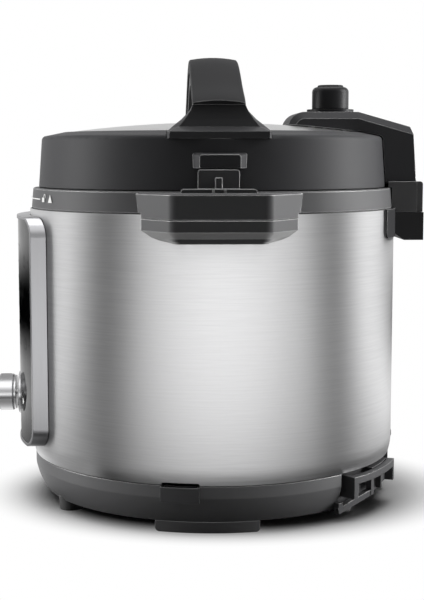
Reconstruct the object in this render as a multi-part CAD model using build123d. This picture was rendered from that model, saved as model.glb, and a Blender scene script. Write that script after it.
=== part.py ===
from build123d import *
from math import cos, radians, sin, sqrt
import os

# Upright electric cooker with a twist-lock lid on a rear hinge.
# Millimetres. The pot axis is Z and the table is z = 0. The control panel faces -Y, the hinge is at +Y
# and the two side handles are at +X and -X. Angles run from +X towards +Y.

# Fits between pieces
slip = 0.3           # room between pieces that move past each other
seam = 0.4           # shadow line between two fixed mouldings
running = 0.06       # radial room of a shaft in its bore
bite = 1.0           # overlap where two volumes are joined or one is cut through

# Base, feet and the fittings on the base
base_bottom = 8.2
base_top = 35.8
base_floor_radius = 132.9
base_belly = (137.6, 16.2)
base_inner_belly = (133.6, 17.2)
base_side_radius = 141.0
base_side_from = 27.0
base_wall = 3.0
base_lip_radius = 139.6
base_lip_top = 41.0
vent_count = 12
vent_radius = 78.0
vent_size = (34.0, 4.0)
foot_radius = 10.0
foot_toe_radius = 8.6
foot_places = ((60.0, -110.0), (71.0, 94.2))
pad_radii = (117.0, 133.0)
pad_half_width = 37.6
pad_middle = -8.4
pad_corner = 3.0
base_screw_circle = 100.0
base_screw_angles = (30.0, 150.0, 270.0)
spoon_slot_angles = (-17.1, -5.9)
spoon_slot_heights = (24.3, 35.4)
spoon_slot_radii = (136.6, 144.2)
spoon_lip_top = 31.2
spoon_notch_top = 38.2
spoon_notch_corner = 1.4
spoon_wall = 1.6
spoon_side_angle = 0.7
bracket_angles = (42.7, 71.5)
bracket_heights = (17.0, 33.2)
bracket_band = 5.2
bracket_flange_angle = 1.8
bracket_radii = (142.4, 147.6)
bracket_web_from = 56.5
bracket_web_radii = (139.5, 141.2)
bracket_rib = (59.2, 60.0, 145.6)
bracket_back_radii = (131.6, 133.6)
recess_angles = (39.8, 77.0)
hook_width = 4.5
hook_start = (85.0, 115.0, 17.0)
hook_tip = (107.0, 88.6, 9.0)
hook_tip_rise = 1.0
inlet_half_width = 16.5
inlet_heights = (12.0, 33.0)
inlet_depths = (116.0, 139.6)
inlet_socket_half_width = 12.2
inlet_socket_heights = (14.6, 30.4)
inlet_socket_depth = 17.0
inlet_corner = 4.0
inlet_pin = (4.0, 2.0, 14.0)
inlet_pin_pitch = 7.0
inlet_pin_stagger = 2.0
bumper_radius = 3.0
bumper_height = 44.0
bumper_reach = 2.2

# Drum and collar
drum_radius = 143.0
drum_wall = 0.8
drum_bottom = 36.4
drum_top = 227.0
drum_curl_radius = 141.2
drum_curl_top = 50.0
drum_curl_middle = (142.5, 42.0)
window_half_width = 58.0
window_heights = (57.0, 212.0)
collar_bottom = 228.0
collar_top = 242.8
collar_radii = (141.7, 140.5)
collar_edge = 0.8
collar_lip_radius = 141.0
collar_lip_bottom = 222.0
collar_skin = 3.0
well_radius = 132.0
well_wall = 2.5
well_floor = (221.0, 224.0)
well_inner_radius = 118.6

# Side handles
grip_face = 162.0
grip_face_half = 34.0
grip_root = (126.0, 59.3)
grip_corner = 8.0
grip_back = 118.0
grip_blend = 14.0
grip_top = 242.2
grip_split = 224.4
grip_bottom = 207.8
grip_sections = ((216.0, 0.0, 0.0, grip_blend), (211.4, 4.6, 5.0, 10.0), (209.4, 4.9, 11.0, 6.0),
                 (grip_bottom, 5.2, 22.0, 3.0))
grip_wall = 3.0
grip_top_edge = 1.2
grip_screw = (151.5, 24.0)
grip_boss_radius = 5.0
post_middle = -1.2
post_half_width = 14.3
post_depths = (137.6, 145.0)
post_heights = (245.0, 258.1)
post_rib_half = 2.2
post_rib_top = 252.5
post_rib_reach = 1.4
post_shelf_half = 26.0
post_shelf_depths = (137.6, 150.0)
post_corner = 2.0
post_shelf_rib = 4.0
post_shelf_rib_half = 0.5

# Pot, liner and bayonet on the drum
liner_radii = (113.8, 115.0)
liner_heights = (52.0, 217.8)
liner_flange_radius = 127.0
liner_sheet = 1.2
liner_hole = 84.0
flange_wall_radii = (116.2, 118.0)
flange_top = 234.4
flange_foot_radius = 129.0
flange_foot = (218.0, 220.8)
lug_count = 6
lug_width = 26.0
lug_pitch = 360.0 / lug_count
flange_lug_radius = 124.3
flange_lug_heights = (231.5, 234.4)
pot_radii = (110.0, 111.6)
pot_heights = (70.0, 236.0)
pot_floor = 2.0
pot_corner = 14.0
pot_rim_radius = 117.6
pot_rim_sheet = 1.6

# Heater and electronics in the base
heater_radius = 93.0
heater_heights = (58.0, 70.0)
heater_hole = 19.0
heater_legs = 3
heater_leg_circle = 88.5
element_ring_radius = 70.0
element_tube_radius = 4.0
element_leg_radius = 3.0
element_gap_angle = 26.0
fuse_size = (26.0, 8.0, 6.0)
fuse_place = (30.0, 34.0)
fuse_strap = 1.0
sensor_radius = 15.0
sensor_heights = (58.6, 69.8)
sensor_stem_radius = 7.0
sensor_stem_bottom = 46.0
holder_radii = (22.0, 24.0)
spring_radius = 10.0
spring_wire = 1.0
spring_turns = 4
spring_heights = (50.0, 58.6)
power_board = ((-58.0, 58.0), (-40.0, 46.0), (22.0, 23.6))
power_board_parts = ((-40.0, -18.0, 28.0, 17.0), (2.0, -22.0, 22.0, 14.0), (36.0, 10.0, 20.0, 19.0))
standoff_radius = 4.0

# Control panel
panel_radius = 153.5
panel_half_width = 68.5
panel_heights = (47.0, 222.0)
panel_corner = 15.0
panel_rim = 2.4
panel_back_radius = 143.3
glass_radii = (149.4, 152.7)
carrier_radii = (144.6, 148.9)
carrier_window_half = 34.0
carrier_window_heights = (126.0, 194.0)
display_depths = (-147.0, -134.0)
board_depths = (-131.6, -130.0)
board_half_width = 50.0
board_heights = (60.0, 208.0)
chip_half_width = 9.0
chip_depth = 2.4
chip_heights = (100.0, 118.0)
dial_height = 79.5
dial_radius = 14.5
dial_front = -170.0
dial_back = -156.4
dial_edge = 0.9
dial_skirt_radius = 13.4
dial_skirt = 1.6
bezel_radii = (12.0, 17.2)
bezel_depths = (-154.2, -150.6)
shaft_radius = 2.0
shaft_depths = (-166.0, -137.6)
plunger_radius = 3.6
plunger_depths = (-146.0, -138.4)
encoder_half = 6.6
encoder_depths = (-139.0, -131.6)
encoder_nose_radius = 5.2
encoder_nose = -143.5
encoder_bore_end = -134.0
button_radius = 7.5
button_angle = 15.5
button_face = 152.8
button_flange_radius = 8.6
button_flange = 1.4

# Lid ring and its handle
ring_bottom = 243.6
ring_radii = (136.0, 133.4)
ring_shoulder_top = 279.0
ring_corner = (132.4, 281.4)
ring_bevel_from = (130.0, 282.5)
ring_bevel_to = (116.0, 285.4)
ring_inner_radius = 112.5
ring_wall = 3.0
ring_draft = 1.0
ring_web = (252.5, 255.5)
ring_web_radius = 117.0
ring_skirt_radii = (128.4, 130.0)
ring_skirt_bottom = 229.5
lock_wall_radii = (126.0, 128.2)
lock_heights = (227.5, 252.3)
lock_lug_radius = 119.6
lock_lug_top = 231.0
retainer_radii = (119.8, 125.8)
retainer_heights = (246.0, 249.0)
hood_heights = (259.0, 269.9)
hood_half_width = 20.4
hood_face_half = 14.2
hood_face_top = 268.4
hood_face = 141.0
hood_corner = 2.0
handle_half_width = 18.4
handle_top = 343.2
handle_crown = (45.0, 336.6)
handle_end = (126.4, 305.8)
handle_stations = (-126.4, -85.0, -45.0, -22.0, 0.0, 22.0, 45.0, 85.0, 126.4)
handle_camber = 1.8
handle_edge = 1.6
handle_lip_bottom = 302.6
handle_grip_depth = 11.0
handle_depth = 21.0
handle_shell = 2.6
cover_half_width = 17.2
foot_plate_half = 36.4
foot_plate_heights = (279.4, 284.2)
foot_back = 113.2
foot_bevel = 5.0
foot_sections = ((handle_lip_bottom, 124.6, 18.4, 18.4), (298.4, 125.0, 20.2, 20.8),
                 (292.8, 126.0, 24.0, 26.2), (287.4, 127.4, 28.2, 33.0), (284.2, 133.2, 34.8, 36.4),
                 (279.4, 133.2, 34.8, 36.4))
handle_screw_place = 122.0
handle_screw_radius = 2.0
handle_screw_bite = 3.0

# Fixed part of the lid
dome_radius = 112.0
dome_edge = 285.5
dome_top = 293.0
dome_sheet = 0.8
core_radii = (108.6, 111.6)
core_heights = (243.2, 284.4)
core_plate = (279.0, 282.0)
lid_plate = (241.0, 243.0)
lid_wall_radii = (116.4, 118.4)
lid_flange_radius = 125.0
lid_flange = (249.5, 251.5)
gasket_radii = (109.6, 118.2)
gasket_bottom = 236.3
gasket_groove = (2.2, 1.2)
gasket_edge = 1.0
valve_place = (0.0, 93.4)
float_place = (14.0, 77.0)
pipe_radius = 4.5
pipe_bore = 2.0
pipe_heights = (236.0, 306.0)
pipe_flange_radius = 8.0
pipe_flange = 2.5
shield_radii = (9.4, 10.4)
shield_bottom = 228.5
shield_slots = 8
shield_slot = (3.0, 6.0)
seat_radius = 18.4
seat_heights = (301.0, 303.5)
knob_radius = 14.4
knob_heights = (303.9, 321.0)
knob_cap_radius = 10.2
knob_cap_top = 322.5
knob_shoulder = 4.0
knob_cap_edge = 1.0
weight_radius = 9.0
weight_heights = (304.0, 316.0)
pin_radius = 2.5
pin_heights = (233.5, 300.6)
pin_head_radius = 5.0
pin_head = 3.0
pin_clip = (243.5, 245.0)
pin_clip_radius = 4.4

# Hinge arm, hinge block and condensate cup
arm_half_width = 31.0
arm_top = 301.0
arm_tip = (57.8, 291.0)
arm_nose = (61.8, 297.6)
arm_tip_top = (71.9, arm_top)
arm_bend = (112.0, arm_top)
arm_rear = (152.3, 289.6)
arm_rear_corner = (154.3, 283.5)
arm_leg_rear = 157.4
arm_leg_front = 143.8
arm_leg_top = 256.0
arm_under = 281.5
arm_inner = (122.0, 250.0)
arm_chamfer = 5.2
arm_wall = 2.6
arm_cover = 2.2
cavity_front = (64.6, 291.5)
cavity_bottom = 279.5
cavity_rear = 134.0
lid_clearance = 0.7
hinge_y = 150.0
hinge_z = 235.0
knuckle_radius = 6.5
hinge_pin_radius = 2.5
bush_radius = 4.2
bush_length = 9.0
hinge_pin_half = 34.5
arm_screw_places = ((-19.0, 85.0), (20.0, 87.0), (-19.0, 102.0), (19.0, 102.0))
arm_screw_radius = 1.9
screw_head = (3.6, 2.6)
cheek_half_width = 36.0
cheek_inner = 31.5
block_rear = 161.9
block_front = 130.0
block_heights = (224.3, 247.7)
block_floor = 1.6
block_wall_rear = 143.2
block_wall_top = 241.0
block_corner = 2.5
block_bevel = (5.4, 4.0)
block_lip_radius = 139.0
tongue_head = (30.0, 219.3, 221.4)
tongue_stem = 23.5
tongue_depths = (149.0, 158.0)
cup_half_width = 36.0
cup_heights = (202.6, 224.0)
cup_rear = 162.0
cup_front_radius = 143.5
cup_wall = 2.0
cup_taper_top = 213.4
cup_taper = (133.0, 147.0)
cup_taper_slope = 1.4
cup_lip_inner = 24.0
cup_lip_bottom = 221.7
cup_notch_bottom = 217.9
back_plate_half = 66.0
back_plate_heights = (205.4, 227.4)
back_plate_thick = 1.6
back_plate_corner = 6.0


def save(node, shape):
    export_step(shape, f"parts/{node}.step")


def block(x, y, z):
    """Box between a pair of limits along each axis."""
    spans = (x, y, z)
    middle = [(low + high) / 2 for low, high in spans]
    return Pos(*middle) * Box(*[high - low for low, high in spans])


def lathe(outline):
    """Solid of revolution about Z from a closed outline of radius and height."""
    return revolve(Plane.XZ * make_face(outline), Axis.Z)


def turned(*points):
    return lathe(Polyline(*points, close=True))


def tube(radii, heights):
    (inner, outer), (low, high) = radii, heights
    return turned((inner, low), (outer, low), (outer, high), (inner, high))


def drum(radius, heights):
    return tube((0, radius), heights)


def sector(radii, heights, angles):
    """Part of a tube between two angles."""
    (inner, outer), (low, high) = radii, heights
    face = make_face(Polyline((inner, low), (outer, low), (outer, high), (inner, high), close=True))
    return Rot(0, 0, angles[0]) * revolve(Plane.XZ * face, Axis.Z, angles[1] - angles[0])


def post(place, radius, heights):
    """Upright cylinder."""
    return Pos(place[0], place[1], 0) * drum(radius, heights)


def rod(start, direction, radius, length):
    plane = Plane(origin=start, z_dir=direction)
    return plane * Cylinder(radius, length, align=(Align.CENTER, Align.CENTER, Align.MIN))


def side_profile(outline, half_width):
    """Outline of (y, z) carried to both sides of the middle plane."""
    return extrude(Plane.YZ * outline, amount=half_width, both=True)


def front_profile(outline, half_width):
    """Outline of (x, z) carried to both sides of the X axis."""
    return extrude(Plane.XZ * outline, amount=half_width, both=True)


def polar(radius, angle):
    return radius * cos(radians(angle)), radius * sin(radians(angle))


def far_side(shape):
    return mirror(shape, about=Plane.YZ)


def group(pieces):
    """Separate solids that share one node."""
    return Compound(children=[solid for piece in pieces for solid in piece.solids()])


# Base


def base_side():
    """Underside and belly of the base from the middle to the foot of its upright side."""
    belly = ThreePointArc((base_floor_radius, base_bottom), base_belly, (base_side_radius, base_side_from))
    return Line((0, base_bottom), (base_floor_radius, base_bottom)) + belly


def base_envelope():
    """Full solid inside the outer surface of the base."""
    corner = (base_side_radius, base_side_from)
    return lathe(base_side() + Polyline(corner, (0, base_side_from), (0, base_bottom)))


def base_outline():
    floor_top = base_bottom + base_wall
    lip_inner = base_lip_radius - base_wall
    outline = base_side() + Line((0, floor_top), (0, base_bottom))
    side_start = (base_side_radius, base_side_from)
    outline += Polyline(side_start, (base_side_radius, base_top), (base_lip_radius, base_top),
                        (base_lip_radius, base_lip_top), (lip_inner, base_lip_top),
                        (lip_inner, base_side_from))
    outline += ThreePointArc((lip_inner, base_side_from), base_inner_belly,
                             (base_floor_radius - base_wall, floor_top))
    outline += Line((base_floor_radius - base_wall, floor_top), (0, floor_top))
    return outline


def base_shell():
    shell = lathe(base_outline())
    through = (base_bottom - base_wall, base_bottom + 2 * base_wall)
    for k in range(vent_count):
        slot = Pos(vent_radius, 0, 0) * block((-vent_size[0] / 2, vent_size[0] / 2),
                                              (-vent_size[1] / 2, vent_size[1] / 2), through)
        shell -= Rot(0, 0, k * 360 / vent_count) * slot
    for angle in base_screw_angles:
        shell -= post(polar(base_screw_circle, angle), handle_screw_radius, through)
    for x, y in board_standoffs():
        top = power_board[2][0]
        shell += post((x, y), standoff_radius, (base_bottom + base_wall - seam, top))
    shell -= sector(spoon_slot_radii, (spoon_slot_heights[0], spoon_notch_top), spoon_slot_angles)
    recess = sector((bracket_back_radii[0], drum_radius), (0, base_top + seam), recess_angles)
    shell = shell - recess - far_side(recess)
    shell -= block((-inlet_half_width, inlet_half_width), (inlet_depths[0], drum_radius), inlet_heights)
    return shell


def board_standoffs():
    (x0, x1), (y0, y1), _ = power_board
    inset = 2 * standoff_radius
    return [(x, y) for x in (x0 + inset, x1 - inset) for y in (y0 + inset, y1 - inset)]


def feet():
    feet = []
    for x, y in foot_places:
        for side in (-1, 1):
            foot = Pos(side * x, y, 0) * Cone(foot_toe_radius, foot_radius, 2 * base_bottom,
                                              align=(Align.CENTER, Align.CENTER, Align.MIN))
            feet.append(foot - base_envelope())
    return group(feet)


def side_pads():
    outline = Pos(pad_middle, base_bottom / 2) * Rectangle(2 * pad_half_width, base_bottom)
    outline = fillet(outline.vertices().sort_by(Axis.Y)[:2], pad_corner)
    bar = extrude(Plane.YZ * outline, amount=drum_radius)
    pad = bar & tube(pad_radii, (0, base_bottom))
    return group([pad, far_side(pad)])


def base_screws():
    screws = []
    for angle in base_screw_angles:
        place = polar(base_screw_circle, angle)
        head = post(place, screw_head[0], (base_bottom - screw_head[1], base_bottom))
        screws.append(head + post(place, handle_screw_radius, (base_bottom, base_bottom + 2 * base_wall)))
    return group(screws)


def spoon_slot():
    angles = (spoon_slot_angles[0] + spoon_side_angle, spoon_slot_angles[1] - spoon_side_angle)
    inner = (spoon_slot_radii[0] + spoon_wall, spoon_slot_radii[1] - spoon_wall)
    cavity = sector(inner, (spoon_slot_heights[0] + spoon_wall, base_top), angles)
    mouth = sector((inner[0], drum_radius), (spoon_lip_top, base_top), angles)
    return sector(spoon_slot_radii, spoon_slot_heights, spoon_slot_angles) - cavity - mouth


def cord_bracket():
    a0, a1 = bracket_angles
    low, high = bracket_heights
    under = high - bracket_band
    outer = bracket_radii[1]
    back = bracket_back_radii[1] - seam
    flange = bracket_flange_angle
    bracket = sector(bracket_back_radii, (base_bottom, base_top - seam), recess_angles)
    bracket += sector(bracket_radii, (under, high), bracket_angles)
    bracket += sector((back, outer), bracket_heights, (a0, a0 + flange))
    bracket += sector((back, outer), bracket_heights, (a1 - flange, a1))
    bracket += sector(bracket_web_radii, (low, under + bite), (bracket_web_from, a1 - flange / 2))
    bracket += sector((back, bracket_web_radii[1]), (under, high), (bracket_web_from, a1))
    rib_start, rib_end, rib_radius = bracket_rib
    bracket += sector((bracket_web_radii[0], rib_radius), (low, under + bite), (rib_start, rib_end))
    return bracket + cord_hook(high - bracket_band / 2)


def cord_hook(top):
    """Bar that hangs from the bracket's band and points down and forward to a raised toe."""
    middle = sum(recess_angles) / 2
    run = Vector(*hook_tip) - Vector(*hook_start)
    square = Box(hook_width, hook_width, run.length + hook_width / 2,
                 align=(Align.CENTER, Align.CENTER, Align.MIN))
    drop = top - hook_start[2] + hook_width / 2
    stem = Pos(hook_start[0], hook_start[1], top) * Rot(0, 0, middle)
    stem *= Box(hook_width, hook_width, drop, align=(Align.CENTER, Align.CENTER, Align.MAX))
    toe = Pos(*hook_tip) * Rot(0, 0, recess_angles[0])
    toe *= Box(hook_width, hook_width, hook_tip_rise + hook_width,
               align=(Align.CENTER, Align.CENTER, Align.MIN))
    return stem + Plane(origin=hook_start, z_dir=run) * square + toe


def power_inlet():
    socket_front = inlet_depths[1] - inlet_socket_depth
    body = block((-inlet_half_width, inlet_half_width), inlet_depths, inlet_heights)
    outline = Pos(0, sum(inlet_socket_heights) / 2) * Rectangle(
        2 * inlet_socket_half_width, inlet_socket_heights[1] - inlet_socket_heights[0])
    outline = chamfer(outline.vertices().sort_by(Axis.Y)[2:], inlet_corner)
    socket = extrude(Plane(origin=(0, socket_front, 0), x_dir=(1, 0, 0), z_dir=(0, -1, 0)) * outline,
                     amount=-2 * inlet_socket_depth)
    body -= socket
    for pin in inlet_pin_boxes():
        body -= pin
    return body


def inlet_pin_boxes():
    wide, thick, reach = inlet_pin
    middle = sum(inlet_socket_heights) / 2
    start = inlet_depths[0] + base_wall
    end = inlet_depths[1] - inlet_socket_depth + reach
    low, high = middle - inlet_pin_stagger, middle + inlet_pin_stagger
    places = [(-inlet_pin_pitch, low), (0, high), (inlet_pin_pitch, low)]
    return [block((x - thick / 2, x + thick / 2), (start, end), (z - wide / 2, z + wide / 2))
            for x, z in places]


def rear_bumper():
    start = (0, drum_radius - drum_wall, bumper_height)
    stud = rod(start, (0, 1, 0), bumper_radius, drum_wall + bumper_reach)
    return stud - drum(drum_radius, (0, drum_top))


# Drum, collar and side handles


def drum_outline():
    inner = drum_radius - drum_wall
    outline = ThreePointArc((drum_curl_radius, drum_bottom), drum_curl_middle, (drum_radius, drum_curl_top))
    outline += Polyline((drum_radius, drum_curl_top), (drum_radius, drum_top), (inner, drum_top),
                        (inner, drum_curl_top))
    outline += ThreePointArc((inner, drum_curl_top), (drum_curl_middle[0] - drum_wall, drum_curl_middle[1]),
                             (drum_curl_radius - drum_wall, drum_bottom))
    outline += Line((drum_curl_radius - drum_wall, drum_bottom), (drum_curl_radius, drum_bottom))
    return outline


def steel_drum():
    window = block((-window_half_width, window_half_width), (-2 * drum_radius, 0), window_heights)
    depths = (drum_radius - 2 * spoon_wall, drum_radius + bite)
    notch = sector(depths, (0, spoon_notch_top), spoon_slot_angles)
    notch = fillet(notch.edges().filter_by(radial_edge).group_by(Axis.Z)[-1], spoon_notch_corner)
    return lathe(drum_outline()) - window - notch


def radial_edge(edge):
    """True for a level edge that points away from the pot axis."""
    return abs((edge @ 0).Z - (edge @ 1).Z) < slip and edge.geom_type == GeomType.LINE


def grip_plan(inset=0.0, root_inset=0.0, blend=grip_blend):
    """Plan of a side handle, drawn in from its face and its root, that flows into the round body."""
    root_x, root_y = grip_root
    face, half, root = grip_face - inset, grip_face_half - inset / 2, root_y - root_inset
    outline = Polygon((root_x, -root), (face, -half), (face, half), (root_x, root), align=None)
    outline += Circle(collar_lip_radius - bite)
    outline = fillet(outline.vertices().sort_by(Axis.X)[:2], blend)
    outline = fillet(outline.vertices().sort_by(Axis.X)[-2:], grip_corner - inset / 2)
    reach = grip_face - grip_back
    return outline & Pos(grip_back + reach / 2, 0) * Rectangle(reach, 2 * grip_face)


def grip_block(heights, inset=0.0):
    return extrude(Pos(0, 0, heights[0]) * grip_plan(inset, inset), amount=heights[1] - heights[0])


def grip_bevel(inset):
    """Lower edge of a side handle, stepping in and up towards the body."""
    return loft([Pos(0, 0, z) * grip_plan(face + inset, root + inset, blend)
                 for z, face, root, blend in grip_sections], ruled=True)


def upper_grip():
    """Upper half of a side handle, open underneath, as it grows out of the collar."""
    outer = grip_block((grip_split, grip_top))
    outer = chamfer(outer.faces().sort_by(Axis.Z)[-1].edges(), grip_top_edge)
    outer -= drum(collar_lip_radius - bite, (collar_bottom, collar_top))
    outer -= drum(drum_radius + slip, (0, collar_bottom))
    hollow = grip_block((grip_split, grip_top - grip_wall), grip_wall)
    outer -= hollow - drum(collar_radii[0], (0, collar_top))
    for y in (-grip_screw[1], grip_screw[1]):
        outer += post((grip_screw[0], y), grip_boss_radius, (grip_split, grip_top - grip_wall))
        outer -= post((grip_screw[0], y), handle_screw_radius, (grip_split, grip_top - 2 * grip_wall))
    return outer


def collar():
    low, high = collar_radii
    skin = collar_lip_radius - collar_skin
    plate = collar_top - collar_skin
    wall_outer = well_radius + well_wall
    ring = turned((well_inner_radius, well_floor[0]), (wall_outer, well_floor[0]), (wall_outer, plate),
                  (skin, plate), (skin, collar_lip_bottom), (collar_lip_radius, collar_lip_bottom),
                  (collar_lip_radius, collar_bottom), (low, collar_bottom),
                  (high, collar_top - collar_edge), (high - collar_edge, collar_top),
                  (well_radius + collar_edge, collar_top),
                  (well_radius, collar_top - collar_edge), (well_radius, well_floor[1]),
                  (well_inner_radius, well_floor[1]))
    grip = upper_grip()
    return ring + grip + far_side(grip)


def handle_cover():
    """Lower half of a side handle: a wall with a rolled-in foot, open above and below for the fingers."""
    top = grip_split - seam
    bevel_top = grip_sections[0][0]
    cover = grip_block((bevel_top, top)) + grip_bevel(0) - drum(drum_radius + slip, (0, collar_top))
    cover -= grip_block((bevel_top, top), grip_wall) + grip_bevel(grip_wall)
    for y in (-grip_screw[1], grip_screw[1]):
        cover += post((grip_screw[0], y), grip_boss_radius, (grip_bottom, top))
        cover -= post((grip_screw[0], y), handle_screw_radius, (grip_bottom, top))
        cover -= post((grip_screw[0], y), screw_head[0], (grip_bottom, grip_bottom + screw_head[1]))
    return cover


def handle_cover_screws():
    screws = []
    seat = grip_bottom + screw_head[1]
    for x in (-grip_screw[0], grip_screw[0]):
        for y in (-grip_screw[1], grip_screw[1]):
            head = post((x, y), screw_head[0], (grip_bottom, seat))
            screws.append(head + post((x, y), handle_screw_radius, (seat, grip_top - 2 * grip_wall)))
    return group(screws)


def upright_plate(half_width, depths, heights, corner):
    """Plate that faces +X, with its upper corners rounded."""
    low, high = heights
    outline = Pos(0, (low + high) / 2) * Rectangle(2 * half_width, high - low)
    outline = fillet(outline.vertices().group_by(Axis.Y)[-1], corner)
    return extrude(Plane.YZ.offset(depths[0]) * outline, amount=depths[1] - depths[0])


def sensor_post():
    low, high = post_heights
    shelf = upright_plate(post_shelf_half, post_shelf_depths, (grip_top, low), post_corner)
    rise = upright_plate(post_half_width, post_depths, (grip_top, high), post_corner)
    rib = block((post_depths[1], post_depths[1] + post_rib_reach), (-post_rib_half, post_rib_half),
                (grip_top, post_rib_top))
    piece = shelf + rise + rib
    front = post_shelf_depths[1]
    half = post_shelf_rib_half
    for y in (-post_shelf_rib, post_shelf_rib):
        piece += block((front, front + half), (y - half, y + half), (grip_top, low))
    return Pos(0, post_middle, 0) * piece - drum(collar_radii[0], (0, collar_top + slip))


# Pot, liner, bayonet and heater


def inner_pot():
    inner, outer = pot_radii
    floor, top = pot_heights
    rim = top - pot_rim_sheet
    blend = cos(radians(45))
    low_middle = (outer - pot_corner * (1 - blend), floor + pot_corner * (1 - blend))
    small = pot_corner - pot_floor
    high_middle = (inner - small * (1 - blend), floor + pot_floor + small * (1 - blend))
    outline = Line((0, floor), (outer - pot_corner, floor))
    outline += ThreePointArc((outer - pot_corner, floor), low_middle, (outer, floor + pot_corner))
    outline += Polyline((outer, floor + pot_corner), (outer, rim), (pot_rim_radius, rim),
                        (pot_rim_radius, top), (inner, top), (inner, floor + pot_corner))
    outline += ThreePointArc((inner, floor + pot_corner), high_middle, (inner - small, floor + pot_floor))
    outline += Polyline((inner - small, floor + pot_floor), (0, floor + pot_floor), (0, floor))
    return lathe(outline)


def liner():
    inner, outer = liner_radii
    low, high = liner_heights
    under, above = high - liner_sheet, low + liner_sheet
    return turned((liner_hole, low), (outer, low), (outer, under), (liner_flange_radius, under),
                  (liner_flange_radius, high), (inner, high), (inner, above), (liner_hole, above))


def locking_flange():
    inner = flange_wall_radii[0]
    flange = tube(flange_wall_radii, (flange_foot[0], flange_top))
    flange += tube((inner, flange_foot_radius), flange_foot)
    for k in range(lug_count):
        middle = (k + 0.5) * lug_pitch
        flange += sector((inner, flange_lug_radius), flange_lug_heights,
                         (middle - lug_width / 2, middle + lug_width / 2))
    return flange


def heating_plate():
    plate = tube((heater_hole, heater_radius), heater_heights)
    for k in range(heater_legs):
        place = polar(heater_leg_circle, (k + 0.5) * 360 / heater_legs)
        plate += post(place, standoff_radius, (liner_heights[0] + liner_sheet, heater_heights[0] + bite))
    return plate - Pos(0, 0, heater_heights[0]) * Torus(element_ring_radius, element_tube_radius + running)


def heating_element():
    middle = heater_heights[0]
    circle = Pos(element_ring_radius, 0) * Circle(element_tube_radius)
    arc = 360 - element_gap_angle
    ring = Rot(0, 0, element_gap_angle / 2) * revolve(Plane.XZ * circle, Axis.Z, arc)
    tube_ring = Pos(0, 0, middle) * ring
    for angle in (-element_gap_angle / 2, element_gap_angle / 2):
        x, y = polar(element_ring_radius, angle)
        tube_ring += post((x, y), element_leg_radius, (liner_heights[0] - 3 * element_tube_radius, middle))
    return tube_ring


def thermal_fuse():
    long, wide, high = fuse_size
    x, y = fuse_place
    top = heater_heights[0]
    case = block((x - long / 2, x + long / 2), (y - wide / 2, y + wide / 2), (top - high, top))
    strap = block((x - wide / 4, x + wide / 4), (y - wide, y + wide), (top - high - fuse_strap, top - high))
    return case + strap


def pot_sensor():
    stem = drum(sensor_stem_radius, (sensor_stem_bottom, sensor_heights[0]))
    return drum(sensor_radius, sensor_heights) + stem


def sensor_holder():
    """Cup under the heating plate that carries the spring and guides the sensor's stem."""
    top = spring_heights[0]
    floor = (top - 2 * spring_wire, top)
    cup = drum(holder_radii[1], floor) + tube(holder_radii, (floor[0], heater_heights[0]))
    return cup - drum(sensor_stem_radius + running, floor)


def sensor_spring():
    low, high = spring_heights
    start = low + spring_wire / 2 + running
    rise = high - low - spring_wire - 2 * running
    path = Helix(rise / spring_turns, rise, spring_radius, center=(0, 0, start))
    wire = Plane(origin=path @ 0, z_dir=path % 0) * Circle(spring_wire / 2)
    return sweep(wire, path=path) & tube((0, 2 * spring_radius), spring_heights)


def power_board_piece():
    board = block(*power_board)
    top = power_board[2][1]
    for x, y, size, high in power_board_parts:
        half = size / 2
        board += block((x - half, x + half), (y - half, y + half), (top - seam, top + high))
    return board


# Control panel


def panel_prism(inset):
    """Upright rounded rectangle carried forward from the pot axis."""
    wide = 2 * (panel_half_width - inset)
    high = panel_heights[1] - panel_heights[0] - 2 * inset
    outline = RectangleRounded(wide, high, panel_corner - inset)
    return extrude(Plane.XZ * (Pos(0, sum(panel_heights) / 2) * outline), amount=2 * drum_radius)


def panel_holes(room):
    """Clearance for the dial's shaft and for the push buttons."""
    front = -panel_radius - bite
    holes = rod((0, front, dial_height), (0, 1, 0), encoder_nose_radius + room, panel_radius)
    for side in (-1, 1):
        holes += button_rod(side, button_radius + room, (carrier_radii[0] - bite, panel_radius))
    return holes


def button_rod(side, radius, radii):
    """Cylinder along the panel's own normal, beside the dial."""
    angle = -90 + side * button_angle
    x, y = polar(radii[0], angle)
    return rod((x, y, dial_height), (*polar(1, angle), 0), radius, radii[1] - radii[0])


def panel_frame():
    ring = tube((panel_back_radius, panel_radius), panel_heights)
    return (ring & panel_prism(0)) - panel_prism(panel_rim)


def panel_glass():
    sheet = tube(glass_radii, panel_heights) & panel_prism(panel_rim + running)
    return sheet - panel_holes(slip)


def panel_carrier():
    sheet = tube(carrier_radii, panel_heights) & panel_prism(panel_rim + running)
    sheet -= panel_holes(bite + slip)
    wide = (-carrier_window_half, carrier_window_half)
    sheet -= block(wide, (-2 * drum_radius, 0), carrier_window_heights)
    for x in (-board_half_width + standoff_radius, board_half_width - standoff_radius):
        for z in (board_heights[0] + standoff_radius, board_heights[1] - standoff_radius):
            reach = rod((x, board_depths[0], z), (0, -1, 0), standoff_radius, drum_radius)
            sheet += reach & drum(carrier_radii[0] + bite, panel_heights)
    return sheet


def display():
    half = carrier_window_half - 2 * slip
    low, high = carrier_window_heights
    slab = block((-half, half), display_depths, (low + 2 * slip, high - 2 * slip))
    return slab & drum(glass_radii[0] - running, panel_heights)


def control_board():
    board = block((-board_half_width, board_half_width), board_depths, board_heights)
    rear = board_depths[1]
    chip = block((-chip_half_width, chip_half_width), (rear - seam, rear + chip_depth), chip_heights)
    return board + chip


def on_dial_axis(depths, radius):
    """Cylinder along the dial's axis."""
    return rod((0, depths[0], dial_height), (0, 1, 0), radius, depths[1] - depths[0])


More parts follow.
